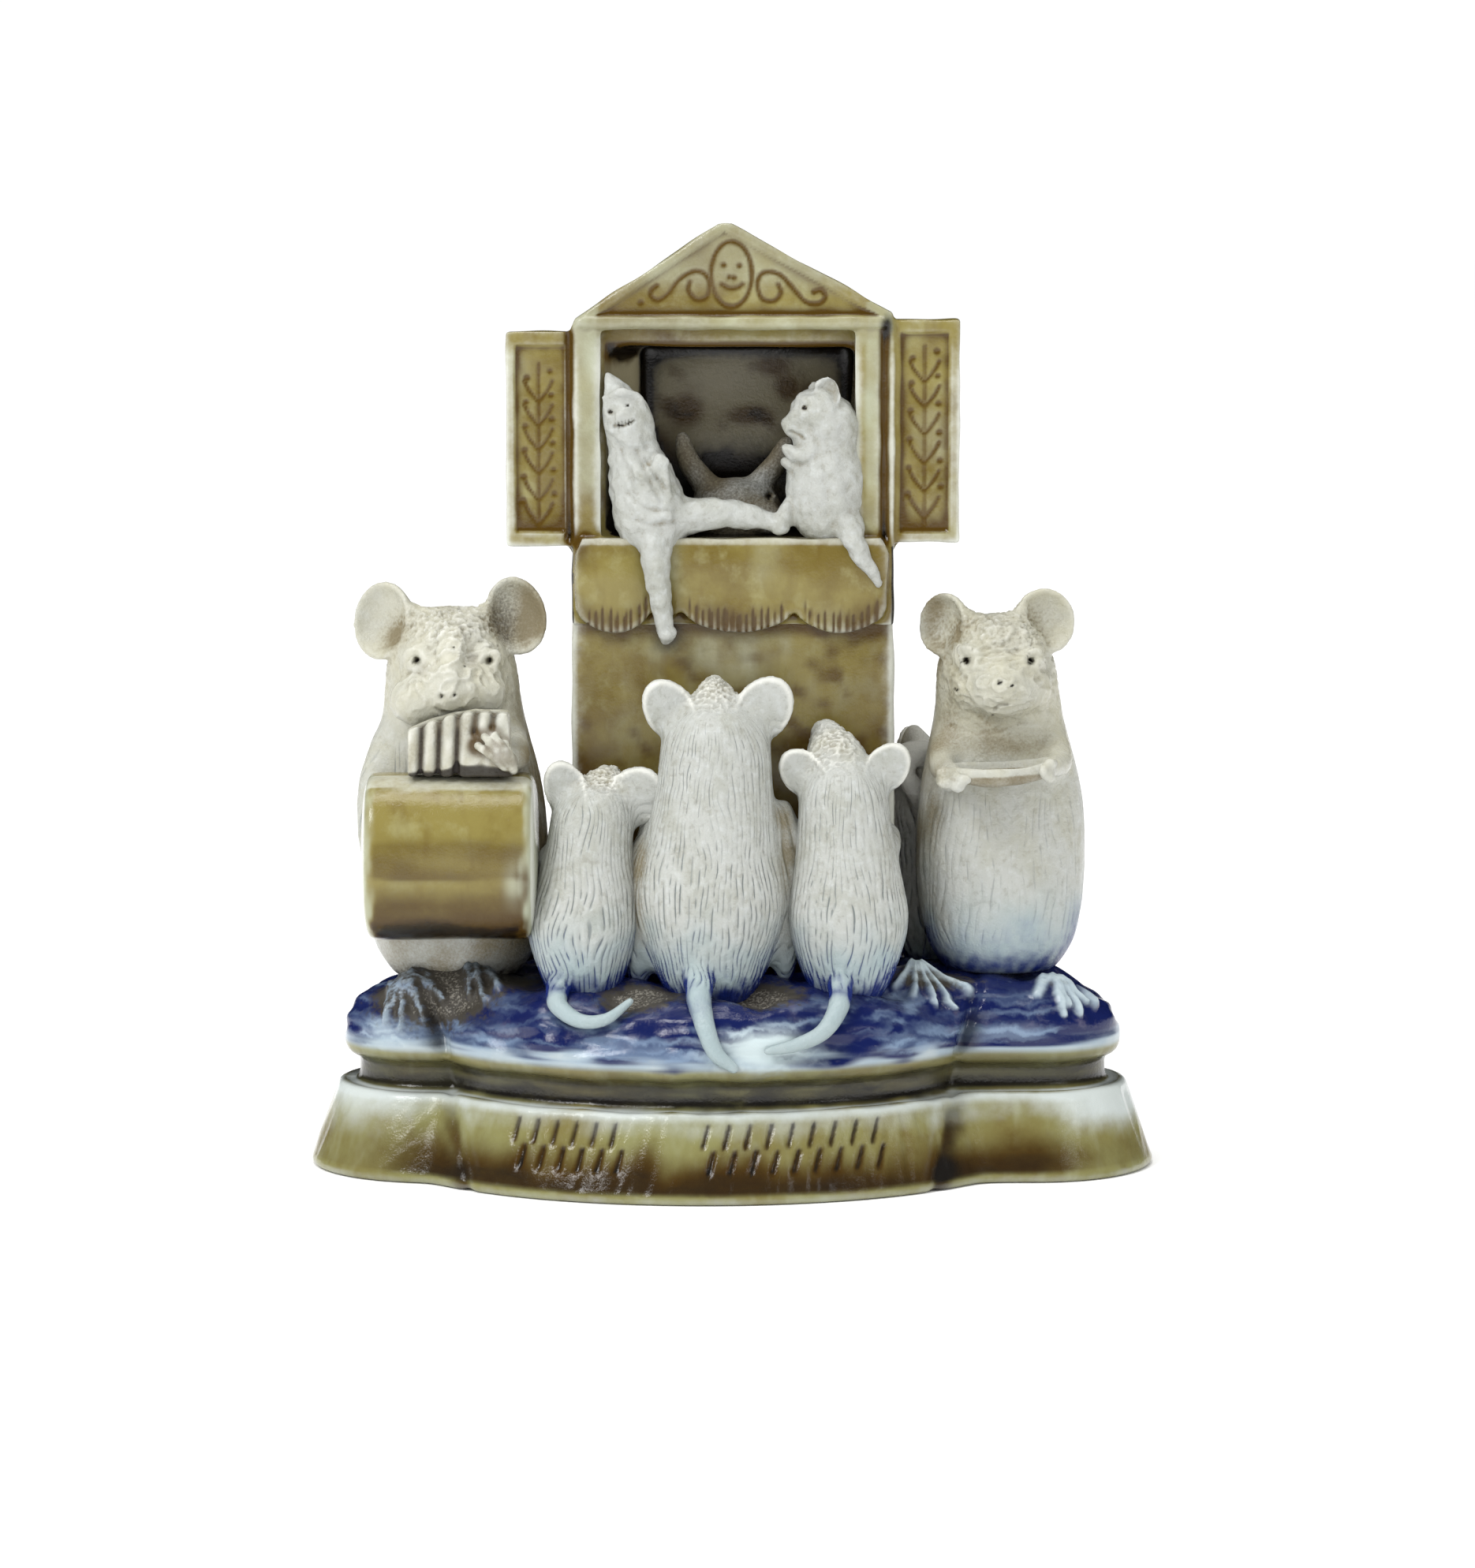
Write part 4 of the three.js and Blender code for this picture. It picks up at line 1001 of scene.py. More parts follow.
# %% The drum's glaze
def glaze_drum(drum):
    p = drum.p
    off = np.abs(p[:, 0] - DRUM_AT[0])
    cloud, run = lumps(p * (0.3, 1, 1), 3.2, 31), lumps(p * (1, 1, 0.35), 1.6, 32)
    height = p[:, 2] - DRUM_AT[2] + 0.5 * cloud
    inner = step(DRUM_HALF - 0.6, DRUM_HALF - 2.7, off + 0.5 * run)
    bands = 0.42 * step(4.6, 2.4, height) * step(-2.6, -1.4, height)
    # Painted shade: the bands darken below the middle, where the drum turns downwards.
    bands += 0.34 * step(-3.0, -6, height) + 0.3 * step(-7.0, -9.4, height)
    bands += 0.12 * step(7, 4, height) + 0.26 * step(0, -5, height) + 0.08 * cloud
    spots = 0.6 * bump_at(p, (-28.9, -21, 43.5), (1.2, 4, 2.6))
    spots += 0.5 * bump_at(p, (-30, -22, 37), (2.5, 4, 1.4))
    rims = 0.3 + 0.55 * step(7, 10.5, np.hypot(p[:, 1] - DRUM_AT[1], p[:, 2] - DRUM_AT[2]))
    rims = rims * step(DRUM_HALF - 1.0, DRUM_HALF - 0.6, off)
    drum.masks = {
        # White rims on the ends, and a painted highlight along the top of the front.
        "edge": rims + 0.5 * step(9.4, 10.4, height) * (p[:, 1] < -14),
        "brown": bands * inner + spots,
        # Near-black painted shade on the underside.
        "dark": 0.8 * step(-6.8, -9.8, height) * step(11.6, 8.8, off + 0.6 * run),
        "tint": 0.75 * (1 - inner) + 0.85 * bump_at(p, (-30.2, -22, 43), (2.0, 6, 5)),
    }


glaze_drum(drum)
print("masks of the drum:", ", ".join(drum.masks))

# %% [markdown]
# ### The pan pipes
# Six pipes are one slab of clay with drawn grooves, its top stepping up to the right, and the paw lies over
# it with four fingers. Thin iron and painted shade fill the grooves, so the pipes read as round though the
# slab is flat. Painted shade lies round the paw, and a painted shadow along the foot, on the drum.

# %% The pan pipes' clay
PIPES_OUTLINE = [
    (-45.5, 57.9), (-45.5, 64.5), (-42.6, 65.6), (-39, 66.7), (-36.2, 67.1), (-31.4, 66.9), (-30.8, 57.9),
]
PIPES_FRONT, PIPES_REAR, PIPES_TOP = -17.3, -12.6, 67.5
PIPE_GROOVES = [(-43.7, 58), (-41.25, 58), (-38.7, 58), (-36.1, 64.2), (-33.6, 65.0)]
FINGERS = [
    [(-35.6, -17.8, 62.3), (-33.8, -18.3, 61.2), (-32.0, -17.8, 59.4)],
    [(-34.7, -17.9, 63.6), (-32.9, -18.5, 61.9), (-31.4, -17.9, 59.8)],
    [(-33.3, -17.9, 63.9), (-32.0, -18.5, 61.9), (-30.9, -17.8, 59.4)],
    [(-31.9, -17.7, 62.6), (-31.1, -18.1, 60.8), (-30.6, -17.6, 58.9)],
]


def shape_pipes():
    """A plate, a palm and four fingers in one skin; grooves of 0.62 exp(-(d / 0.54)^2) beside the paw."""
    palm = egg((-31.5, -17.2, 60.1), (1.5, 1.1, 1.5))
    fingers = [rolled(path, [0.5, 0.68, 0.66], 14, 12) for path in FINGERS]
    figure = Figure([], [plate(PIPES_OUTLINE, PIPES_FRONT, PIPES_REAR), palm, *fingers], 0.22, settle=4)
    off_fingers = np.full(len(figure.p), 99.0)
    for path in FINGERS:
        off_fingers = np.minimum(off_fingers, near_path(figure.p, path))
    gap = np.zeros(len(figure.p))
    for x, foot in PIPE_GROOVES:
        off = near_path(figure.p[:, [0, 2]], [(x - 0.1, foot), (x + 0.3, PIPES_TOP)])
        gap = np.maximum(gap, np.exp(-((off / 0.54) ** 2)))
    gap = gap * (1 - step(0.72, 0.5, off_fingers)) * step(-13.4, -14.4, figure.p[:, 1])
    figure.move(-0.62 * gap + 0.05 * lumps(figure.p, 2, 33))
    return figure, off_fingers, gap


pipes, off_fingers, gap = shape_pipes()
print("pan pipes:", 2 * len(pipes.quads), "triangles")

# %% The pan pipes' glaze
def glaze_pipes(figure, off_fingers, gap):
    p = figure.p
    clear = 1 - step(0.72, 0.5, off_fingers)
    # Painted shadow in a band along the foot, where the pipes stand on the drum.
    over_foot = p[:, 2] - 58.4 - 1.3 * bump_at(p[:, :1], (-36.5,), (4.6,))
    low = step(0.5, -0.3, over_foot + 0.3 * lumps(p, 3, 34))
    # Brown in the grooves, thin iron and painted shade, and painted shade round the paw.
    brown = 0.6 * gap + 0.5 * bump_at(p[:, [0, 2]], (-36.2, 62.6), (1.5, 2.2)) * clear
    brown += 0.5 * clear * step(2.2, 0.9, off_fingers) * (p[:, 1] < -16)
    # Near-black painted shade deep in the grooves; with the band along the foot it goes to the pit mask.
    deep = 0.62 * step(0.35, 1, gap) * step(66.6, 64, p[:, 2])
    grime_and_shade = np.clip(0.1 + 0.3 * step(0.0, 1, lumps(p, 3, 36)) + 0.3 * low, 0, 1) * clear
    figure.masks = {
        "cut": 0.85 * gap**0.6,
        "cream": 0.8 - 0.3 * gap,
        "brown": brown,
        "pit": deep + 0.7 * low * (1 - 0.5 * (1 - clear)),
        "edge": 0.3 * (1 - gap) * (p[:, 1] < -15.2) + 0.25 * lumps(p * (1, 1, 0.4), 1.5, 35),
        "dirt": grime_and_shade,
    }


glaze_pipes(pipes, off_fingers, gap)
print("masks of the pan pipes:", ", ".join(pipes.masks))

# %% [markdown]
# ### The collector
# A grown mouse on the right, holding out a small dish with both arms. It is made as the drummer is, but
# its small paws are a few balls of clay each.

# %% The collector's clay
COLLECTOR = {"seat": (38.6, 0.8, 28), "height": 51.4, "wide": 12.2, "deep": 10.8, "lean": (-0.9, -1.6)}
COLLECTOR_SOFT = [
    bodied(COLLECTOR, GROWN_ROWS),
    egg((38.2, -8, 70), (5.4, 6.4, 4.6), tip=12),
    egg((34.2, -7.0, 69.4), (3.2, 3.4, 3.2)), egg((42.2, -7.0, 69.2), (3.2, 3.4, 3.2)),
    egg((38.4, -5.2, 75.8), (5.2, 3.8, 3.2)),
    egg((34.0, -7.8, 74.1), (1.9, 1.7, 1.8)), egg((42.7, -7.7, 73.7), (2.0, 1.7, 1.8)),
    rolled([(32.4, -3.2, 81.0), (34.4, -4.0, 78.4), (36.4, -4.6, 76.8)], [0.8, 1.6, 2.2]),
    rolled([(42.0, -3.2, 81.0), (39.8, -4.0, 78.4), (38.2, -4.6, 76.8)], [0.8, 1.6, 2.2]),
    rolled([(31.0, -3, 61.5), (29.6, -9, 58.6), (31.2, -14.4, 57.8)], [2.8, 2.1, 1.8]),
    rolled([(45.4, -3, 61.5), (46.4, -9, 59), (44.8, -14.2, 58.8)], [2.8, 2.1, 1.7]),
]
COLLECTOR_CRISP = [
    cupped_ear((30.7, -1.6, 78.0), (-0.8, -1, 0.1), (4.0, 2.8, 4.4), -16),
    cupped_ear((44.3, -1.6, 78.4), (0.25, -1, 0.1), (4.4, 2.9, 4.6), 10),
    egg((30.8, -16.2, 57.5), (2.3, 1.7, 1.8)), egg((29.7, -17.2, 58.5), (1.2, 1.0, 0.9)),
    egg((29.9, -17.7, 57.0), (1.2, 1.0, 0.8)), egg((31.6, -18.0, 56.5), (1.1, 0.9, 0.8)),
    egg((32.7, -17.9, 57.7), (1.1, 0.9, 0.8)),
    egg((44.4, -16.4, 58.7), (1.2, 1.3, 1.6)), egg((44.6, -17.2, 59.9), (0.9, 0.9, 0.7)),
    egg((43.6, -18.0, 58.8), (0.7, 0.8, 1.1)), egg((44.5, -17.6, 57.8), (0.9, 0.9, 0.8)),
    egg((38.3, -13.3, 70.2), (1.9, 1.5, 1.4)),
    rolled([(34, 9.5, 30), (38, 15, 27), (42.6, 16.2, 26.4), (46.4, 13.2, 26.2)], [1.9, 1.6, 1.2, 0.7], 40),
]
print("collector:", len(COLLECTOR_SOFT), "soft and", len(COLLECTOR_CRISP), "crisp pieces of clay")

# %% The collector's fur and face
COLLECTOR_HOLES = [
    ((33.2, 73.4), 0.5, 1.4), ((42.2, 73.4), 0.5, 1.4), ((37.6, 70.9), 0.36, 0.45),
    ((39.4, 70.5), 0.32, 0.4), ((31.8, 69.3), 0.34, 0.6), ((36.8, 65.9), 0.22, 0.3),
]
BEFORE_THE_EARS = -2


def work_collector():
    figure = Figure(COLLECTOR_SOFT, COLLECTOR_CRISP, 0.355)
    p = figure.p
    brow = bump_at(p, (38, -5, 78), (6.4, 6, 3.4))
    curls = figure.rough(np.clip(1.2 * brow + bump_at(p, (43.6, -7, 76), (2, 3, 2)), 0, 1), 1.1, 0.42, 40)
    muzzle = bump_at(p, (38.4, -8, 72), (9, 9, 7))
    figure.rough(np.clip(1.4 * muzzle, 0, 1), 1.9, 0.44, 43, (0.6, 1, 1.2))
    belly = step(57, 53, p[:, 2]) * step(30, 34, p[:, 2])
    comb_fur(figure, COLLECTOR, 54, 0.13, 0.85 * belly, 41, 9, 0.34, 0.42)
    whiskers = arcs((35.0, 70.0), (1.4, 2.3), 100, 170) + arcs((41.4, 70.6), (1.2, 2.1), 20, 90)
    figure.score([*whiskers, *arcs((38.4, 72.4), (1.5, 2.4, 3.2), 50, 120)], 0.24, 0.13, 0.1)
    figure.score([[(36.9, 66.9), (37.6, 67.6), (38.8, 67.7)]], 0.28, 0.4, 0.6)
    figure.score([[(31.2, 64.0), (34, 63.3), (38, 63.4), (42, 64.8), (45.5, 66.5)]], 0.35, 0.12, 0.02)
    figure.mound((33.2, 73.8), 1.3, 0.7, 0.6)
    figure.mound((42.3, 73.6), 1.25, 0.55, 0.6)
    for place, radius, depth in COLLECTOR_HOLES:
        figure.pit(place, radius, depth, BEFORE_THE_EARS)
    return figure, curls, brow


collector, collector_curls, collector_brow = work_collector()
print("collector:", len(collector.p), "corners")

# %% The collector's glaze
def glaze_collector(figure, curls, brow):
    p = figure.p
    x, y, z = p.T
    ears = bump_at(p, (32.2, -3.2, 77.0), (3, 2.2, 3.2)) + 0.6 * bump_at(p, (43.4, -3.4, 77.8), (3, 2.2, 3.2))
    # Painted shade on the left side, which faces the booth.
    left = step(33.5, 28, x) * (0.5 + 0.5 * step(36, 60, z))
    # Painted shade under the head, above the arms.
    shade_under_head = bump_at(p, (40, -9, 61.5), (6.5, 4, 2.2)) + 0.6 * bump_at(p, (34, -9, 64), (5, 4, 3.5))
    rear = 0.5 * step(2, 9, y)
    dirt = np.clip(0.6 * ears + 0.7 * left + 0.65 * shade_under_head + rear + 0.3 * curls + 0.15 * brow, 0, 1)
    glaze_masks(figure, 28.6, 46, dirt, 42, step(27.6, 28.8, z))
    masks = figure.masks
    eyes = bump_at(p, (33.2, -12, 73.6), (2, 5, 2)) + bump_at(p, (42.3, -12, 73.5), (2, 5, 2))
    masks["edge"] *= 1 - 0.7 * eyes
    masks["cream"] = (0.35 + 0.5 * step(54, 62, z)) * step(2, -2, y) * step(38, 48, z)
    masks["blue"] = 0.7 * masks["blue"] + 0.3 * masks["tint"] ** 2
    masks["crust"] = 0.55 * step(28.4, 26.8, z) * np.clip(0.5 + lumps(p, 1.6, 45), 0, 1)


glaze_collector(collector, collector_curls, collector_brow)
figures["collector"] = collector

# %% [markdown]
# ### The dish
# The dish is a shallow boat pinched from one ball of clay. Its section runs from the foot round the rim and
# into the hollow, and an oval carries it round. It tips a little to the right and its ends rise.

# %% The dish
DISH_ROWS, DISH_COLUMNS = 70, 120
DISH_AT, DISH_HALF_WIDTH, DISH_HALF_DEPTH = (37.9, -14.2, 57.9), 7.9, 5.2
DISH_SECTION = np.array([
    [0.02, -1.5], [0.5, -1.45], [0.85, -0.9], [0.98, 0.2], [1.0, 0.9], [0.94, 1.25], [0.86, 1.0],
    [0.74, 0.1], [0.4, -0.35], [0.02, -0.45],
])


def shape_dish():
    """x = w s cos a, y = d s sin a, z = 1.05 h + 0.056 x + 0.5 cos^2 a, for share s and height h."""
    ribs = smooth_curve(DISH_SECTION, DISH_ROWS)
    a = np.linspace(0, 2 * np.pi, DISH_COLUMNS, endpoint=False)
    x = DISH_AT[0] + DISH_HALF_WIDTH * ribs[:, :1] * np.cos(a) + 0 * a
    y = DISH_AT[1] + DISH_HALF_DEPTH * ribs[:, :1] * np.sin(a)
    z = DISH_AT[2] + ribs[:, 1:] * 1.05 + 0.056 * (x - DISH_AT[0]) + 0.5 * np.cos(a) ** 2
    shape = Surface(np.stack([x, y, z], -1).reshape(-1, 3), grid_quads(DISH_ROWS, DISH_COLUMNS))
    shape.move(0.12 * lumps(shape.p, 4, 44))
    return shape


dish = shape_dish()
hollow = dish.hollow(10)
before, height = dish.p[:, 1], dish.p[:, 2]
# Painted shade on the underside of the dish.
shade_under = step(58.5, 57.9, height - 0.05 * (dish.p[:, 0] - DISH_AT[0]))
dish.masks = {
    "dirt": 4 * hollow + 0.5 * step(58.3, 57.6, height) * (before > -17) + 0.9 * shade_under,
    "brown": 0.3 * shade_under * (before < -16),
    "edge": -4 * hollow,
    "cream": 0.6 + 0 * hollow,
}
print("dish:", len(dish.p), "corners")

# %% [markdown]
# ### Three young mice
# They sit with their backs to the front, noses raised. One table lists them, because they are the same
# animal at three sizes: a body, a snout, ears, arms and a tail that hangs over the edge of the ground. Webs
# are the thin clay left where two of them touch.

# %% The young mice's sizes
WATCHERS = {
    "left watcher": {
        "seat": (-21.1, -14.2, 25.2), "height": 31, "wide": 7.9, "deep": 7.4, "lean": (1.3, 2.2),
        "stripes": 52, "snout": [(-20, -12, 52), (-18.6, -8.8, 54.8), (-17.2, -6.4, 57)],
        "snout_radii": [4.4, 3.4, 1.7],
        "ears": [((-23.4, -12.2, 55.2), (-0.3, 1, 0.2), (2.9, 1.8, 4.6), -20),
                 ((-14, -12.2, 54.2), (0.35, 1, 0.2), (3.9, 1.8, 5), 42)],
        "arms": [([(-26, -11, 45), (-25.4, -5.6, 46), (-21.6, -3.6, 47.5)], [2, 1.7, 1.3])],
        "webs": [],
        "tail": ([(-24.4, -19.4, 28.6), (-24.4, -22.6, 26.4), (-21.3, -25.2, 24.6), (-17.6, -25.7, 24.9),
                  (-14.2, -24.2, 27.2)], [1.9, 1.4, 1.1, 0.9, 0.55]),
    },
    "middle watcher": {
        "seat": (-3, -14.6, 25.2), "height": 42.4, "wide": 10.6, "deep": 9.2, "lean": (0.7, 2.2),
        "stripes": 70, "snout": [(-2.6, -12.4, 62.6), (-2.4, -9.4, 66.6), (-2.6, -7, 69.6)],
        "snout_radii": [5.4, 4.4, 1.9],
        "ears": [((-8.6, -12.2, 66.4), (-0.2, 1, 0.2), (3.5, 1.8, 5.2), -32),
                 ((4.2, -12.2, 66.6), (0.2, 1, 0.2), (3.9, 1.8, 5.4), 34)],
        "arms": [([(-11, -10, 50), (-9.4, -5.8, 53), (-7.4, -3.8, 56)], [2.4, 2, 1.5]),
                 ([(4.6, -11.4, 50), (8.2, -10.2, 48.6), (11.6, -11, 47)], [2.6, 2.4, 2.4])],
        "webs": [((-13.3, -11.4, 37), (2.4, 4.6, 12)), ((7.4, -10.8, 40.5), (2.8, 4.4, 14))],
        "tail": ([(-4.6, -21.6, 30), (-4.6, -25.2, 27.4), (-3.6, -28.2, 23.8), (-2.2, -29.2, 20.6),
                  (0.2, -29.3, 18.6)], [2.4, 1.8, 1.4, 1.2, 0.8]),
    },
    "right watcher": {
        "seat": (16.4, -14, 25.2), "height": 34.4, "wide": 8.6, "deep": 7.8, "lean": (-0.7, 2.2),
        "stripes": 56, "snout": [(15.8, -12, 54.6), (14.6, -9.2, 59.4), (13.3, -7, 62.8)],
        "snout_radii": [5, 4.5, 2.5],
        "ears": [((10.2, -12, 57.6), (-0.15, 1, 0.2), (3, 1.6, 4.2), -42),
                 ((21.6, -12, 58.2), (0.15, 1, 0.2), (3, 1.6, 4.4), 36)],
        "arms": [([(22, -10.6, 47), (22.2, -5.6, 48.5), (19.2, -3.8, 50.5)], [2.1, 1.8, 1.3])],
        "webs": [],
        "tail": ([(15.2, -20.8, 29), (14.8, -24.2, 26.2), (12.6, -26.6, 23.2), (8.8, -28, 21.6),
                  (5, -28.9, 20.9)], [1.9, 1.5, 1.2, 1.0, 0.6]),
    },
}
print("young mice:", ", ".join(WATCHERS))

# %% [markdown]
# An ear is a shallow cup with a raised hem: a ring on the ear's own ellipse, with the cup pressed in inside
# it. The fur is short and deep on the lower half of a body, and longer and fainter towards the neck.

# %% The young mice's clay and fur
HEM_HEIGHT = 0.32


def raise_hem(figure, at, size, roll):
    """An ear's hem, seen from the front: height * exp(-((e - 0.9) / 0.1)^2), e = 1 on its ellipse."""
    axis = turned(np.array([[0.0, 0.0, 1.0]]), 0, roll)[0]
    x, z = figure.p[:, 0] - at[0], figure.p[:, 2] - at[2]
    e = np.hypot((x * axis[2] - z * axis[0]) / size[0], (x * axis[0] + z * axis[2]) / size[2])
    above = step(-0.5, 0.1, (x * axis[0] + z * axis[2]) / size[2])
    ring = np.exp(-(((e - 0.9) / 0.1) ** 2)) * above
    cup = 0.9 * np.exp(-((e / 0.68) ** 4)) * (0.4 + 0.6 * above)
    figure.move(HEM_HEIGHT * (ring - cup) * figure.facing_front())
    return ring


def work_watcher(mouse, seed):
    ears = [cupped_ear(*ear) for ear in mouse["ears"]]
    arms = [rolled(path, radii) for path, radii in mouse["arms"]]
    webs = [egg(*web) for web in mouse["webs"]]
    soft = [bodied(mouse, YOUNG_ROWS), rolled(mouse["snout"], mouse["snout_radii"], 24), *arms, *webs, *ears]
    figure = Figure(soft, [*ears, rolled(*mouse["tail"], 44, 16)], 0.3, coarse=0.6, soften=12)
    p = figure.p
    rise = (p[:, 2] - mouse["seat"][2]) / mouse["height"]
    back = step(2, -3, p[:, 1] - mouse["seat"][1] - 2.2 * rise)
    body = step(0.0, 0.06, rise) * step(1.02, 0.86, rise)
    body = body * step(1.6, 3.0, near_path(p, mouse["tail"][0][1:]))
    low = step(0.78, 0.42, rise)
    comb_fur(figure, mouse, mouse["stripes"], 0.22, body * low, seed, 6, 0.25, 0.8)
    comb_fur(figure, mouse, mouse["stripes"], 0.17, body * (1 - low) * (0.6 + 0.4 * back), seed, 9, 0.26, 0.6)
    hems = sum(raise_hem(figure, at, size, roll) for at, _, size, roll in mouse["ears"])
    middle = np.mean(mouse["snout"], axis=0) + (0, 0, 1)
    snout = bump_at(figure.p, middle, (3.4, 5.2, 4.4))
    return figure, hems, snout


# %% [markdown]
# Creamy clay shows on the crumbled brow, and the webs are dirty. The tails carry little cobalt: it only
# gathers beside them where they lie on the ground.

# %% The young mice's glaze
def glaze_watcher(figure, mouse, seed, hems, snout):
    before = figure.p
    crumbs = figure.rough(np.clip(1.5 * snout, 0, 1), 1.2, 0.5, seed + 7)
    dirt = 0.3 * snout + 0.25 * crumbs + 0.4 * step(-8, -4, before[:, 1]) * (1 - 0.6 * snout)
    for at, size in mouse["webs"]:
        dirt = dirt + 0.9 * bump_at(before, np.array(at) + (0, -3, 6), np.array(size) * (0.8, 1, 0.7))
    off_tail = near_path(figure.p, mouse["tail"][0][1:])
    glaze_masks(figure, 27.5, 43, np.clip(dirt, 0, 1), seed + 8, step(1.2, 2.6, off_tail))
    masks = figure.masks
    masks["edge"] = masks["edge"] + 0.5 * hems + 0.5 * crumbs + 0.2 * snout
    masks["cream"] = 0.9 * snout
    masks["brown"] = 0.35 * bump_at(before, (7.6, -11, 46), (2.4, 4, 6))
    masks["brown"] += 0.45 * snout * step(0.6, 0.1, crumbs)


for number, (name, mouse) in enumerate(WATCHERS.items()):
    print(name)
    seed = 60 + 20 * number
    figures[name], hems, snout = work_watcher(mouse, seed)
    glaze_watcher(figures[name], mouse, seed, hems, snout)

# %% [markdown]
# ### A mouse behind the booth
# Only the head and the raised arms of this one show past the booth's right side, and painted light
# lightens them in the booth's shade. Its body is plain, but it gets fur and glaze all the same, because the
# group can be seen from behind.

# %% The mouse behind
PEEPER = {"seat": (29, 14.6, 25.5), "height": 32, "wide": 6.6, "deep": 6.2, "lean": (-1.4, -0.6)}
PEEPER_SOFT = [
    bodied(PEEPER, YOUNG_ROWS),
    rolled([(28, 13.4, 54), (27.2, 12.4, 57.4), (26.4, 11.6, 60.6)], [4.6, 3.6, 2]),
    rolled([(28.6, 9.6, 50), (26.6, 7, 53), (24.8, 6.2, 55.4)], [2.3, 1.9, 1.6]),
    rolled([(30.6, 9.4, 57.0), (27.4, 7.2, 58.6), (24.6, 6.6, 58.6)], [2.2, 2.0, 1.7]),
]
PEEPER_CRISP = [
    cupped_ear((31.4, 11.6, 57.8), (1, 0.3, 0.3), (2.6, 1.5, 3.6), 10),
    cupped_ear((25.6, 17.2, 57.8), (-1, 0.6, 0.3), (2.6, 1.5, 3.6), -10),
    rolled([(30, 19.4, 28.2), (26, 23.6, 25.4), (18, 25, 26)], [1.7, 1.3, 0.7], 30),
]

peeper = Figure(PEEPER_SOFT, PEEPER_CRISP, 0.36)
coat = step(54, 46, peeper.p[:, 2]) * step(26, 30, peeper.p[:, 2])
comb_fur(peeper, PEEPER, 26, 0.3, coat, 130, 6, 0.34, 0.8)
print("mouse behind")
glaze_masks(peeper, 27, 38, 0.2 + 0 * peeper.cut, 131)
# Painted light over the head and the arms, which stand in the shade of the booth and the collector.
peeper.masks["edge"] = step(44, 52, peeper.p[:, 2])
figures["mouse behind"] = peeper

# %% [markdown]
# ## The booth
# The booth is cut from slabs: walls, sill, lintel and gable round a stage room, with a thick slanting jamb
# on the left. The plain walls get a coarse skin of their own, and the fine front overlaps them.

# %% The booth walls' clay
STAGE_LEFT, STAGE_RIGHT, SILL, STAGE_TOP, STAGE_BACK = -18.7, 17.4, 90.6, 117.3, 17.2
WALL_LEFT, WALL_RIGHT, WALL_FRONT, WALL_REAR = -22.9, 23.0, -3.4, 20.4
WALL_LEVELS = ((25.4, 0.9), (60, 0.3), (SILL, 0))
LEFT_JAMB = [(-22.6, -2.0), (-22.6, 20.2), (-13.3, 20.2), (-13.3, 4.7), (-18.7, -2.0)]
GABLE_WALL = [(-22.8, STAGE_TOP), (22.9, STAGE_TOP), (22.5, 121.9), (-1.1, 134.5), (-22.2, 121.0)]


def wall_ring(level, flare):
    """The walls' outline at a level, wider by the flare on both sides."""
    left, right = WALL_LEFT - flare, WALL_RIGHT + flare
    corners = ((left, WALL_FRONT), (right, WALL_FRONT), (right, WALL_REAR), (left, WALL_REAR))
    return [(px, py, level) for px, py in corners]


def shape_walls():
    """Slabs in one skin; the panel at the rear is sunk by 0.6 mm inside four soft edges."""
    parts = [
        skin([wall_ring(level, flare) for level, flare in WALL_LEVELS]),
        skin([[(px, py, level) for px, py in LEFT_JAMB] for level in (88, 119.5)]),
        slab(STAGE_RIGHT, 22.9, -2.0, WALL_REAR, 88, 119.5),
        slab(-22.8, 22.9, STAGE_BACK, WALL_REAR, 88, 119.5),
        plate(GABLE_WALL, -0.6, 20.3),
    ]
    points, quads = fused(parts, 0.72)
    shape = Surface(averaged(points, edges_of(quads), 3), quads)
    x, y, z = shape.p.T
    inside = (x > -19.5) * (x < 18.2) * (y > -1) * (y < 17.6) * (z > 90) * (z < 118)
    panel = step(19.5, 20.2, y) * step(-16.4, -15.9, x) * step(17, 16.5, x)
    panel = panel * step(39.6, 40.1, z) * step(116, 115.5, z)
    as_cut = shape.p
    shape.move(0.14 * lumps(as_cut, 12, 150) - 0.12 - 0.6 * panel)
    return shape, as_cut, inside


print("booth")
walls, as_cut, inside = shape_walls()
print("    walls", 2 * len(walls.quads), "triangles")

# %% [markdown]
# The room behind the stage gets painted shade, low down, under its ceiling and in its corners, and its
# rear wall is blotched, because glaze pooled there. Outside, a painted shadow runs under the cloth and
# another lies round the hanging foot, painted shade fills the deep hollows and the foot of the walls, and
# the wall darkens downwards below the cloth.

# %% The booth walls' glaze
ROOM_BLOTS = [
    ((5.9, 17, 114.2), (2.6, 3, 1.6)), ((8.0, 17, 110.8), (1.8, 3, 1.8)), ((-6.6, 17, 107.6), (2.6, 3, 2.6)),
    ((2.6, 17, 106.8), (3.6, 3, 1.5)), ((-1, 17, 98.6), (7, 3, 2.6)), ((-12.6, 17, 116), (2.2, 3, 2)),
    ((13, 17, 104), (3, 3, 6)), ((-11, 17, 101), (2.4, 3, 4)), ((-17.8, 3, 117), (3, 6, 2)),
]


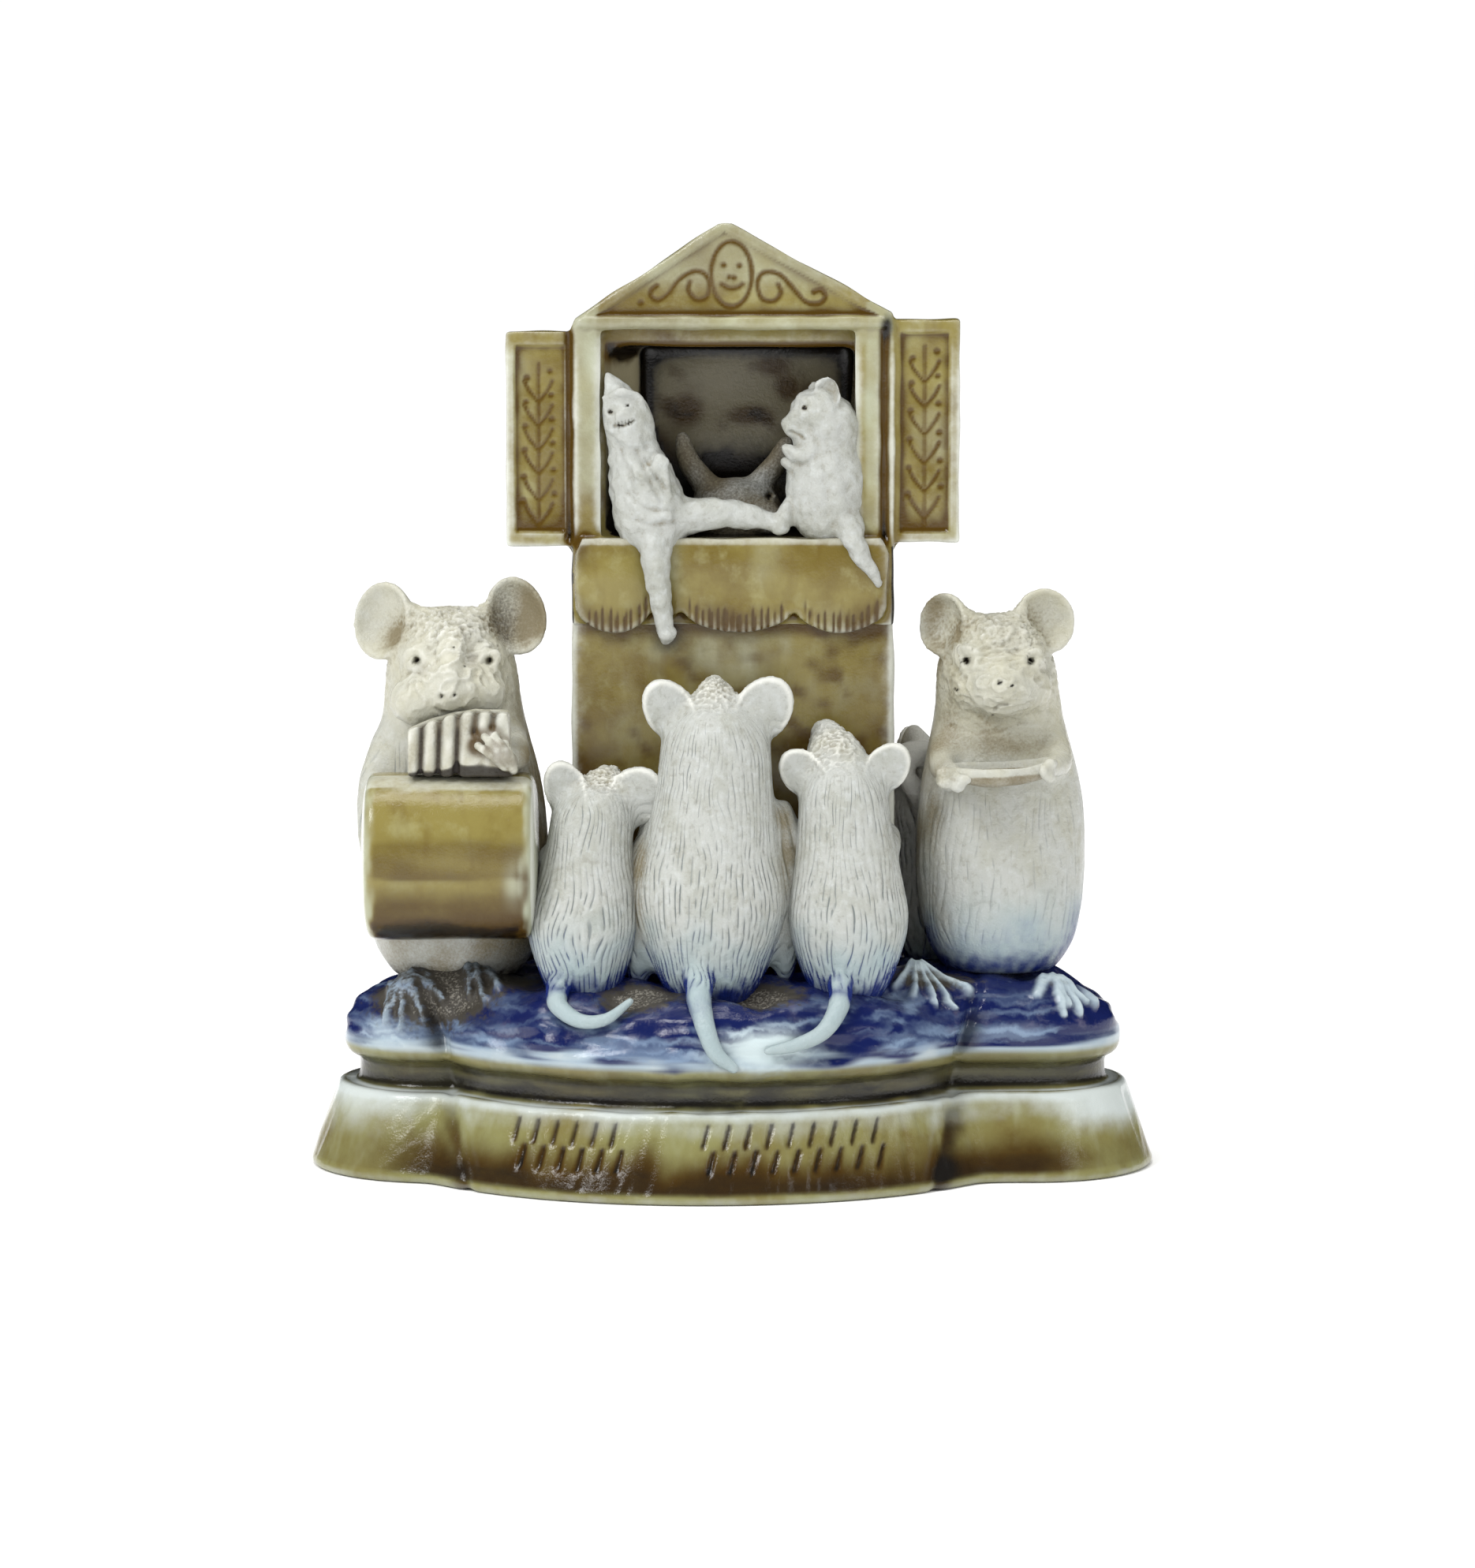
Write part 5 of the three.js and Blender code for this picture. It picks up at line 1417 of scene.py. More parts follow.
def glaze_walls(walls, as_cut, inside):
    p = walls.p
    x, y, z = as_cut.T
    cloud, spots = lumps(p, 9, 151), lumps(p, 4.5, 152)
    wide = walls.hollow(24)
    blots = sum(bump_at(p, centre, size) for centre, size in ROOM_BLOTS)
    brown = 0.4 * step(0.1, 1.3, spots) + 0.5 * step(-0.1, 1.2, cloud) * step(84, 50, z)
    # Glaze pooled in the blots, and painted shade under the room's ceiling.
    brown += 1.2 * blots * inside + 0.8 * inside * step(115.6, 116.8, z)
    # Painted shadow of the cloth along the front, and the front a little darker all over.
    brown += (0.6 * step(2.5, 0, np.abs(z - 78)) + 0.2) * (y < 0)
    brown += 0.4 * step(72, 46, z) + 0.2 * step(4, 20, x)
    # Painted shade in the room, darker low down and in its corners, and in the pooled blots.
    dark = inside * (0.95 * step(107, 97, z) + 2.2 * wide + 0.8 * blots * step(0.0, 0.5, spots))
    # Painted shadow round the foot of the hanging leg.
    dark += 0.95 * bump_at(p[:, [0, 2]], (-9.2, 76.6), (2.3, 2.8)) * (y < 0)
    # Painted shade in the deep hollows and along the foot of the walls.
    dark += 1.6 * step(0.2, 0.9, wide) + 0.7 * step(34, 27, z)
    corner = step(22.2, 22.8, np.abs(x)) * step(-1.5, -3, y)
    drips = step(-0.2, 1, lumps(p * (1.6, 1, 0.7), 6, 153)) * (y < 0)
    walls.masks = {
        "inside": inside,
        "brown": brown,
        "dark": dark,
        "edge": -0.9 * wide * (1 - inside) + 0.3 * corner,
        "tint": 0.4 * bump_at(p, (1.5, -3, 72), (8, 2, 5)) + 0.2 * drips,
        "dirt": 0.2 * step(10, 20, y),
    }


glaze_walls(walls, as_cut, inside)
print("masks of the walls:", ", ".join(walls.masks))

# %% [markdown]
# ### The booth front
# The front is a frame with a cornice and a gable, a cloth that ends in scallops, and two side boards held
# by clay brackets. Each scallop drops by the root of a half sine: round below, with cusps at its joints.

# %% The booth front's clay
CLOTH_JOINTS, CLOTH_CUSP, CLOTH_DROP = [-22.3, -11.5, -7.2, 8.8, 21.9], 80.6, 3.6
FULL_SCALLOP = 10.8
GABLE_FRONT = [(-22.9, 119.9), (23, 119.9), (22.9, 122.4), (-1.1, 135.5), (-22.4, 121.5)]
LEFT_BRACKET = [(-21.2, 90), (-21.6, 85.3), (-24, 90)]
RIGHT_BRACKET = [(24, 90), (21.6, 85.7), (21.2, 90)]
TOP_LIMIT = 135


def cloth_edge(x):
    """Height of the cloth's lower edge: cusp - drop * sqrt(sin(pi t)), t from joint to joint."""
    edge = np.full(len(x), CLOTH_CUSP)
    for a, b in zip(CLOTH_JOINTS[:-1], CLOTH_JOINTS[1:]):
        t = np.clip((x - a) / (b - a), 0, 1)
        drop = CLOTH_DROP * min(1, (b - a) / FULL_SCALLOP)
        scallop = CLOTH_CUSP - drop * np.sqrt(np.clip(np.sin(np.pi * t), 0, 1))
        edge = np.where((x >= a) & (x < b), scallop, edge)
    return edge


def shape_front():
    cloth_x = np.linspace(CLOTH_JOINTS[0], CLOTH_JOINTS[-1], 90)
    cloth = [*zip(cloth_x, cloth_edge(cloth_x)), (22.3, 88.6), (21.2, SILL), (-21.4, SILL), (-22.4, 88.6)]
    parts = [
        slab(WALL_LEFT, STAGE_LEFT, -3.6, -0.8, 78, 120.4),
        slab(STAGE_RIGHT, WALL_RIGHT, -3.6, -0.8, 78, 120.4),
        slab(WALL_LEFT, WALL_RIGHT, -3.6, -0.8, 78, SILL - 0.2),
        plate(GABLE_FRONT, -3.6, -0.6),
        plate(cloth, -5.2, -3.0),
        slab(-22.0, 22.1, -4.3, -3.3, 120.3, 121.7),
        slab(-32.2, -22.0, -2.9, 2.2, 89.1, 119.7), slab(22.1, 32.3, -2.9, 2.2, 89.7, 121.4),
        plate(LEFT_BRACKET, 0.2, 2.6), plate(RIGHT_BRACKET, 0.2, 2.6),
    ]
    points, quads = fused(parts, 0.31)
    points = averaged(points, edges_of(quads), 4)
    points[:, 2] = np.minimum(points[:, 2], TOP_LIMIT - 0.05)
    return Surface(points, quads)


front = shape_front()
print("    front", 2 * len(front.quads), "triangles")

# %% [markdown]
# ### Sunk fields and folds
# The gable and the side boards have sunk fields, and a groove runs up beside the boards. The cloth swells,
# is furrowed under the puppet's leg, and ends in a fringe cut with a comb. Glaze will gather in these
# zones, so they are kept by name.

# %% Zones of the booth front
BOARD_MIDDLE = 27.3
FRINGE_PITCH = 1.02
FRINGES = [(-20.6, -12.2), (-6.6, 8.2), (9.6, 21)]
SWELLS_OF_CLOTH = [((-16.6, 86.5), (4.5, 4.5)), ((0.8, 87), (7.5, 4)), ((15, 85.5), (5.5, 4))]
LEG_LINE = [(-12.4, 89.5), (-10.6, 84), (-8.6, 76)]


def front_zones(front):
    """Shares between 0 and 1 of each sunk or raised zone, from soft steps in X and Z."""
    x, y, z = front.p.T
    flat = front.p[:, [0, 2]]
    aside, on_right = np.abs(x), x > 0
    slope = np.minimum(121.5 + (x + 22.4) * 0.655, 122.4 - (x - 22.9) * 0.545)
    board = step(3.7, 3.2, np.abs(aside - BOARD_MIDDLE)) * step(91.0, 91.6, z)
    board = board * step(119.6, 119.0, z - on_right * 0.6)
    board = board * step(118.0, 117.4, z - on_right * 1.8)
    groove = np.exp(-(((aside - np.where(x < 0, 23.1, 21.6)) / 0.55) ** 2))
    jambs = np.minimum(np.abs(x - STAGE_LEFT), np.abs(x - STAGE_RIGHT))
    cloth = step(-4.2, -4.8, y) * (z < SILL)
    teeth = 0.5 + 0.5 * np.cos(2 * np.pi * (x + 0.12 * np.sin(3 * x)) / FRINGE_PITCH)
    in_fringe = sum(((x > start) & (x < end)) for start, end in FRINGES)
    hanging = step(3.6 + 0.8 * np.sin(5 * x), 1.6, z - cloth_edge(x)) * cloth
    return {
        "facing": step(-0.3, -0.8, front.n[:, 1]),
        "gable": step(1.3, 1.9, slope - z) * step(121.7, 122.2, z),
        "board": board * step(23.0, 23.6, aside),
        "groove": groove * step(89, 91, z) * step(120.6, 119, z),
        "bevel": step(1.1, 0.0, jambs) * (z > 90) * (z < 120),
        "cloth": cloth,
        "fringe": teeth**3 * hanging * in_fringe,
        "swell": cloth * sum(bump_at(flat, at, size) for at, size in SWELLS_OF_CLOTH),
        "furrow": np.exp(-((near_path(flat, LEG_LINE) / 1.6) ** 2)) * (z < SILL),
    }


zones = front_zones(front)
print("zones:", ", ".join(zones))

# %% [markdown]
# ### Drawn ornament
# Scrolls, a round doll's face and leaf sprays are drawn into the soft clay with a point. Each is a curve in
# the front view with a narrow groove along it, and thin iron stands in a softer band round the groove.

# %% The lines of the ornament
FACE_MIDDLE, FACE_HALF_WIDTH, FACE_HALF_HEIGHT = (-0.1, 127.8), 2.9, 4.6
FACE_TURNS = np.linspace(0, 2 * math.pi, 33)
FACE_OVAL = [(FACE_MIDDLE[0] + FACE_HALF_WIDTH * math.sin(a), FACE_MIDDLE[1] + FACE_HALF_HEIGHT * math.cos(a))
             for a in FACE_TURNS]
MOUTH = [(-1.5, 126.4), (-0.7, 125.9), (0, 125.75), (0.8, 125.9), (1.5, 126.4)]
SCROLLS = [
    [(6.5, 126.4), (6.9, 125.2), (6.0, 124.1), (4.5, 124.2), (3.7, 125.5), (3.7, 127.2), (4.7, 128.1),
     (6.8, 127.7), (8.7, 125.7), (10.4, 123.9), (12.3, 123.7), (13.2, 124.7), (12.5, 125.6), (11.6, 125.3)],
    [(-6.0, 126.7), (-6.2, 125.5), (-5.1, 124.2), (-3.7, 124.5), (-3.2, 126.0), (-3.7, 127.7), (-5.4, 128.2),
     (-7.5, 127.0), (-8.9, 125.2), (-10.4, 124.1), (-11.5, 124.7), (-11.4, 125.6), (-10.6, 126.2)],
]
PRICKS = [(-1.2, 129.1), (1.0, 129.0), (-0.4, 127.4), (0.25, 127.3), (-12.9, 123.8), (11.6, 125.3)]
SPRAYS = [
    {"stem": -27.5, "low": 92.2, "high": 115.2, "reach": 2.2,
     "tips": [96.2, 99.6, 103.4, 106.8, 110.2, 113.6]},
    {"stem": 27.3, "low": 92.4, "high": 117.6, "reach": 2.3,
     "tips": [97.2, 100.9, 104.9, 109.0, 112.9, 116.4]},
]
STEM_THINNER, BRANCH_THINNER = 0.12, 0.1


def spray_lines(spray):
    """The branches of a leaf spray, rising outwards on both sides of its stem, and a dot at each tip."""
    stem, reach, branches, dots = spray["stem"], spray["reach"], [], []
    for number, tip in enumerate(spray["tips"]):
        for side in (-1, 1):
            bend, end = (stem + side * reach * 0.62, tip - 2.2), (stem + side * reach * 0.9, tip - 0.9)
            branches.append(smooth_curve([(stem, tip - 3.9), bend, end], 9))
            dots.append((stem + side * reach * (1 - 0.05 * number), tip + 0.5 * side))
    return branches, dots


def drawn_ornament(front):
    """Distances from the nearest line and the nearest dot, seen from the front."""
    flat = front.p[:, [0, 2]]
    lines, dots, pricks = np.full(len(flat), 9.0), np.full(len(flat), 9.0), [*PRICKS]
    for path in (FACE_OVAL, MOUTH, *(smooth_curve(scroll, 40) for scroll in SCROLLS)):
        lines = np.minimum(lines, near_path(flat, path))
    for spray in SPRAYS:
        stem = [(spray["stem"], spray["low"]), (spray["stem"], spray["high"])]
        lines = np.minimum(lines, near_path(flat, stem) + STEM_THINNER)
        branches, tips = spray_lines(spray)
        pricks += tips
        for branch in branches:
            lines = np.minimum(lines, near_path(flat, branch) + BRANCH_THINNER)
    for prick in pricks:
        dots = np.minimum(dots, np.linalg.norm(flat - prick, axis=1))
    return lines, dots


lines, dots = drawn_ornament(front)
print("lines and dots touch", int((np.minimum(lines, dots) < 0.3).sum()), "corners")

# %% Working the booth front
LINE_WIDTH, DOT_WIDTH, LINE_DEPTH = 0.27, 0.38, 0.2

ink = np.maximum(np.exp(-((lines / LINE_WIDTH) ** 2)), np.exp(-((dots / DOT_WIDTH) ** 2))) * zones["facing"]
drawn = np.clip(1 - np.minimum(lines, dots - 0.06), 0, 1) * zones["facing"]
relief = -0.38 * zones["gable"] - 0.5 * zones["board"] - 0.75 * zones["groove"] - 0.2 * zones["bevel"]
relief += -0.36 * zones["fringe"] + 0.5 * zones["swell"] - 0.5 * zones["furrow"] * zones["cloth"]
relief -= LINE_DEPTH * ink
front_flat = front.p[:, [0, 2]]
front.p = front.p + np.array([0, 1, 0]) * (-relief * zones["facing"])[:, None]
front.n = normals_of(front.p, front.quads)
front.move(0.09 * lumps(front.p, 7, 160) - 0.05)
front.p[:, 2] = np.minimum(front.p[:, 2], TOP_LIMIT)
print("relief in mm:", round(float(relief.min()), 2), "to", round(float(relief.max()), 2))

# %% [markdown]
# Glaze runs off the borders, which show nearly white, and gathers in the groove and the fringe. Beside the
# stage and under the gable the clay shows pale through a thin coat. Painted shade lies in the furrow beside
# the hanging leg, in the deepest hollows and on the brackets under the side boards, a painted shadow round
# the hanging foot, and a painted highlight along the top of the cloth.

# %% The booth front's glaze
def glaze_front(front, zones, ink, drawn, flat):
    x, y, z = front.p.T
    aside = np.abs(x)
    hollow, wide = front.hollow(6), front.hollow(36)
    cloud, spots = lumps(front.p, 7, 161), lumps(front.p, 3, 162)
    hanging = step(5.5, 1.5, z - cloth_edge(flat[:, 0])) * zones["cloth"]
    hanging = hanging * (0.55 + 0.45 * np.sin(0.33 * x + 1.4))
    # In the furrow beside the leg the brown is painted shade.
    brown = 0.25 * ink + 1.1 * zones["groove"] ** 0.5 + 0.6 * zones["furrow"] * zones["cloth"]
    brown += 2.6 * np.clip(wide, 0, 0.4) + 1.8 * np.clip(hollow, 0, 0.3)
    brown += 0.55 * zones["board"] * (step(97, 91, z) + 0.35 * step(-0.4, 1, spots))
    brown += 0.3 * zones["gable"] * step(125, 122.2, z) + zones["fringe"] * (0.25 + 0.8 * hanging)
    # The brown spot at the left bracket is painted shade under the side board.
    brown += 0.6 * hanging + 0.16 * step(0, 1.2, cloud) + 0.7 * bump_at(flat, (-21.6, 89.5), (1.8, 3))
    # Painted shadow round the hanging foot.
    dark = 0.9 * bump_at(flat, (-9.2, 77.0), (2.2, 2.6)) + 0.55 * zones["groove"] * step(97, 90, z)
    # Painted shade in the deepest hollows.
    dark += 1.7 * np.clip(wide - 0.25, 0, 1) + bump_at(flat, (21.9, 120.4), (1.0, 1.8))
    # Painted shade on the brackets under the side boards.
    dark += 0.9 * step(0.6, -0.4, y) * (z < 89.2) * (aside > 22.6)
    edge = -1.9 * wide - 1.0 * hollow + 0.3 * zones["bevel"]
    # A painted highlight along the top of the cloth.
    edge += 0.6 * step(0.8, 0.3, np.abs(z - 90.1)) * zones["cloth"]
    edge = np.clip(edge, 0, 1) * (1 - 0.9 * ink) * (1 - 0.65 * step(112, 122, z))
    edge = edge * (1 - 0.5 * zones["cloth"])
    posts = step(18.2, 19.4, aside) * step(23.0, 22.2, aside)
    posts = posts * step(91, 100, z) * (z < 124)
    lintel = 0.9 * step(116.6, 118.6, z) * step(124.5, 120.5, z) * (aside < 22.6)
    thin = 0.3 * step(0.2, 1, lumps(front.p, 10, 163)) + 0.45 * step(123, 128, z)
    front.masks = {
        "ink": drawn,
        "brown": brown,
        "dark": dark,
        "edge": edge,
        "tint": thin + 0.55 * np.maximum(posts, lintel),
        "dirt": 0.15 * step(0, 2, y),
    }


glaze_front(front, zones, ink, drawn, front_flat)
print("masks of the front:", ", ".join(front.masks))

# %% [markdown]
# ### The puppets
# A glove puppet in a pointed cap lies over the sill, with one leg along it and one hanging down. A mouse
# puppet stands with its back to the jamb. They are quick little figures, so the averaging is light, and
# unevenness is added over everything.

# %% The puppets' clay
POINTED_PUPPET = [
    rolled([(-11.4, -2.4, 93.4), (-12.8, -2.2, 98.4), (-14.4, -2.2, 103.8)], [5.6, 4.9, 3.4]),
    rolled([(-10, -2.8, 92.8), (-1, -3.4, 94), (7.2, -3.4, 92.4)], [2.8, 2.2, 1.3], 30),
    rolled([(-10.8, -4.6, 92.2), (-10.8, -6.3, 87), (-9.4, -6.3, 76.4)], [2.6, 2.2, 1.2], 30),
    rolled([(-14.0, -2.8, 104.6), (-15.3, -3, 108.4), (-17.8, -2.8, 113.9)], [3.4, 3.4, 0.5]),
]
MOUSE_PUPPET = [
    egg((13.2, -2, 98.0), (5.7, 4.5, 8.8), sides=36, rows=30), egg((11.2, -2.6, 104.2), (2.6, 2.6, 2.6)),
    rolled([(14.6, -1.8, 105.4), (14.6, -1.8, 101), (14.0, -2, 96)], [2.9, 3.8, 4.6]),
    rolled([(13.8, -2.2, 106.4), (11.6, -2.6, 108), (8.5, -2.8, 106.4)], [4.3, 3.8, 1.7]),
    rolled([(16.6, -4, 92.4), (17.8, -5.6, 89), (20.8, -5.4, 84.2)], [2.2, 1.6, 0.8]),
]
SMALL_PARTS = [
    rolled([(6.8, -3.6, 92.2), (7.3, -3.6, 93.6), (7.8, -3.6, 95.4)], [1.5, 1.2, 0.8]),
    rolled([(-15.2, -4.6, 101.6), (-12.6, -6.4, 99.6), (-9.6, -5.7, 101.4)], [1.4, 1.2, 0.9]),
    rolled([(-10.2, -5.4, 101.6), (-9.4, -6.3, 98.8), (-8.8, -6.2, 96.4)], [1.0, 0.7, 0.4]),
    rolled([(11.6, -4.4, 102.6), (9.4, -5, 102.4), (7.6, -4.6, 103.2)], [1.5, 1.2, 0.8]),
    rolled([(9.2, -3.2, 100.6), (7.6, -3.6, 101.2)], [1.2, 0.8]),
    cupped_ear((13.6, -3.8, 110.6), (-0.4, -1, 0.1), (2.0, 1.6, 2.7)),
    cupped_ear((12.2, -0.4, 110.4), (-0.6, 1, 0.1), (1.7, 1.4, 2.1)),
    egg((-16.0, -5.8, 107.8), (0.8, 1.0, 1.0)), egg((-14.9, -5.4, 104.9), (1.7, 1.0, 1.1)),
    rolled([(-17.9, -4.2, 110.4), (-15.8, -5.6, 111.2), (-13.4, -5.2, 110.6), (-11.8, -4.0, 107.4)],
           [0.5, 0.55, 0.55, 0.4], 24, 10),
    egg((-9.3, -6.4, 77.0), (1.35, 1.2, 1.3)),
]
print("puppets:", len(POINTED_PUPPET) + len(MOUSE_PUPPET) + len(SMALL_PARTS), "pieces of clay")

# %% The puppets' faces and folds
FOLDS = [
    [(-15.8, 103), (-14.6, 100), (-13.6, 97)], [(-13.4, 103), (-11.6, 99), (-10, 96)],
    [(-12.4, 102), (-11, 100), (-9.6, 97.6)], [(-14.8, 97), (-12, 95), (-8, 94.6)],
    [(-13.6, 93.2), (-11, 92.6), (-8.2, 93)],
]
SMILE = [(-16.8, 106.4), (-15.2, 106.6), (-13.8, 107.3)]
SNOUT_SLIT = [(8.0, 105.6), (9.2, 105.2), (10.2, 104.6)]
TOOTH_PITCH, TOOTH_HEIGHT, SMILE_RISE = 0.5, 0.8, 0.25


def work_players():
    figure = Figure([*POINTED_PUPPET, *MOUSE_PUPPET], SMALL_PARTS, 0.27, coarse=0.5, soften=5, settle=2)
    figure.pit((-17.3, 108.4), 0.32, 0.6)
    figure.pit((-14.8, 109.3), 0.32, 0.6)
    figure.score([SMILE], 0.22, 0.35, 0.9)
    starts = [(x, 106.1 + SMILE_RISE * (x + 16.6)) for x in np.arange(-16.6, -13.9, TOOTH_PITCH)]
    figure.score([[(x, z), (x, z + TOOTH_HEIGHT)] for x, z in starts], 0.12, 0.15, 0.85)
    figure.pit((10.2, 109.0), 0.34, 0.6)
    figure.score([SNOUT_SLIT], 0.22, 0.25, 0.4)
    figure.score([smooth_curve(fold, 8) for fold in FOLDS], 0.45, 0.36, 0.28)
    as_scored = figure.p
    figure.move(0.13 * lumps(as_scored, 2.4, 170) + 0.06 * lumps(as_scored, 1.2, 171))
    hollow, wide = figure.hollow(6), figure.hollow(40)
    # Painted shade in the hollows and under the puppet that lies over the sill.
    dirt = 2.6 * np.clip(hollow, 0, 0.3) + 0.5 * np.clip(wide, 0, 1) + 0.14 * (as_scored[:, 0] > 4)
    dirt += 0.3 * bump_at(as_scored, (-11, -5, 92.5), (4, 3, 1.6))
    figure.masks = {"cut": np.clip(figure.cut, 0, 1), "dirt": dirt, "edge": -1.5 * hollow}
    return figure


players = work_players()
print("    players", 2 * len(players.quads), "triangles")

# %% [markdown]
# ### The showman
# Behind the puppets rises the head of the mouse that moves them: a rough dome with one eye showing and two
# thick ears that curl up from its sides.

# %% The showman
SHOWMAN_CLAY = [
    egg((0.6, 8.6, 93.2), (6.8, 5, 5.2)),
    rolled([(3.6, 6.6, 93.2), (5.4, 4.6, 92.4), (6.6, 3.4, 91.8)], [3.2, 2.4, 1.5]),
    rolled([(-7.2, 9.4, 103.8), (-6.3, 9.2, 100.6), (-3.8, 9, 97.2)], [1.3, 1.7, 2.0]),
    rolled([(7.8, 9.4, 103.2), (6.2, 9.2, 100.2), (3.6, 9, 97.0)], [1.3, 1.7, 2.0]),
]

showman = Figure(SHOWMAN_CLAY, [], 0.36, coarse=0.5, soften=4)
showman.pit((5.3, 95.6), 0.6, 1.0)
showman.rough(step(99, 96, showman.p[:, 2]), 1.2, 0.1, 175)
print("    showman")
# Painted shade: the dirt mask and the crust darken the whole head, which stands in the room behind the stage.
glaze_masks(showman, 10, 11, 0.9 + 0 * showman.cut, 176)
showman.masks["crust"] = 0.5 + 0 * showman.cut

# %% [markdown]
# ## Glazes
# Salt glaze is clear where it is thin and coloured where it pools, and the masks say where. To write the
# shader as sums and products of the masks, one small class stands for the output of a node.

# %% Shader sums
class Wire:
    """One output of a shader node. Arithmetic on it adds Math nodes, and mix adds a Mix node for colours."""

    def __init__(self, tree, socket):
        self.tree, self.socket = tree, socket

    def node(self, kind, settings, inputs):
        """Adds a node, with its settings and its inputs by name or number, and returns the node."""
        made = self.tree.nodes.new(kind)
        for key, value in settings.items():
            setattr(made, key, value)
        for key, value in inputs.items():
            if isinstance(value, Wire):
                self.tree.links.new(value.socket, made.inputs[key])
            else:
                made.inputs[key].default_value = value
        return made

    def out(self, kind, settings, inputs, output=0):
        return Wire(self.tree, self.node(kind, settings, inputs).outputs[output])

    def math(self, operation, first, second=0.0, clamp=False):
        return self.out("ShaderNodeMath", {"operation": operation, "use_clamp": clamp}, {0: first, 1: second})

    def __add__(self, other):
        return self.math("ADD", self, other)

    def __sub__(self, other):
        return self.math("SUBTRACT", self, other)

    def __rsub__(self, other):
        return self.math("SUBTRACT", other, self)

    def __mul__(self, other):
        return self.math("MULTIPLY", self, other)

    def __truediv__(self, other):
        return self.math("DIVIDE", self, other)

    __radd__, __rmul__ = __add__, __mul__

    def clamped(self):
        return self.math("ADD", self, 0.0, clamp=True)

    def ramp(self, low_end, high_end):
        """0 below the low end and 1 above the high end, smooth between."""
        return self.out("ShaderNodeMapRange", {"interpolation_type": "SMOOTHSTEP"},
                        {"Value": self, "From Min": low_end, "From Max": high_end})

    def mix(self, other, factor):
        """This colour turned into the other one by a factor."""
        return self.out("ShaderNodeMix", {"data_type": "RGBA"}, {0: factor, 6: self, 7: other}, 2)


print("shader sums: +, -, *, /, clamped, ramp, mix")

# %% [markdown]
# Colours are chosen as they look on a screen, between 0 and 255, and the shader wants amounts of light. The
# sRGB curve turns one into the other.

# %% Colours
def srgb(red, green, blue):
    """Linear colour of an sRGB triple: ((c + 0.055) / 1.055)^2.4, or c / 12.92 in the darkest part."""
    share = np.array([red, green, blue]) / 255
    return (*np.where(share <= 0.04045, share / 12.92, ((share + 0.055) / 1.055) ** 2.4).tolist(), 1.0)


print("middle grey on a screen is this much light:", round(srgb(128, 128, 128)[0], 3))

# %% [markdown]
# ### How a glaze is built up
# Noise fields of several sizes break everything up. Three more follow the form: runs that stretch
# downwards, strokes of the comb, and streaks round the plinth. A glaze is a base colour, clouded by some
# fields, with layers laid over it by the masks. Each layer's edge is shifted by a field, so that it is
# ragged as real glaze is, and never a clean fade.

# %% Noise fields
FIELD_SIZES = (0.35, 1.2, 5.0, 16.0)
DOWNWARD_FIELDS = (("run", 3, 11, 2.0), ("stroke", 0.9, 3.2, 1.0))
STREAK_LENGTH, STREAK_HEIGHT, STREAK_WANDER = 10, 1.5, 3


def noise_fields(start, place, around):
    """Noise between 0 and 1 by size in mm, stretched downwards, and along the outline with soft wandering."""
    def noise_at(vector, scale, detail=5.0):
        inputs = {"Vector": vector, "Scale": scale, "Detail": detail, "Roughness": 0.6}
        return start.out("ShaderNodeTexNoise", {}, inputs, 0)

    fields = {size: noise_at(place, 1 / (size * MM)) for size in FIELD_SIZES}
    height = start.out("ShaderNodeSeparateXYZ", {}, {0: place}, 2)
    along = around / STREAK_LENGTH + fields[16.0] * STREAK_WANDER
    level = height / (STREAK_HEIGHT * MM) + fields[5.0] * STREAK_WANDER
    fields["streak"] = noise_at(start.out("ShaderNodeCombineXYZ", {}, {0: along, 1: level}), 1.0, 1.0)
    for name, across, down, detail in DOWNWARD_FIELDS:
        scale = (1 / (across * MM), 1 / (across * MM), 1 / (down * MM))
        fields[name] = noise_at(start.out("ShaderNodeMapping", {}, {0: place, 3: scale}), 1.0, detail)
    return fields


print("noise fields:", *FIELD_SIZES, "streak", *(name for name, *_ in DOWNWARD_FIELDS))

# %% A glaze
GLAZE_IOR = 1.42
ROUGHNESS_SPREAD = 0.1
COMB_DEPTH = 0.8
BUMP_STRENGTH, BUMP_DISTANCE = 0.6, 0.00025


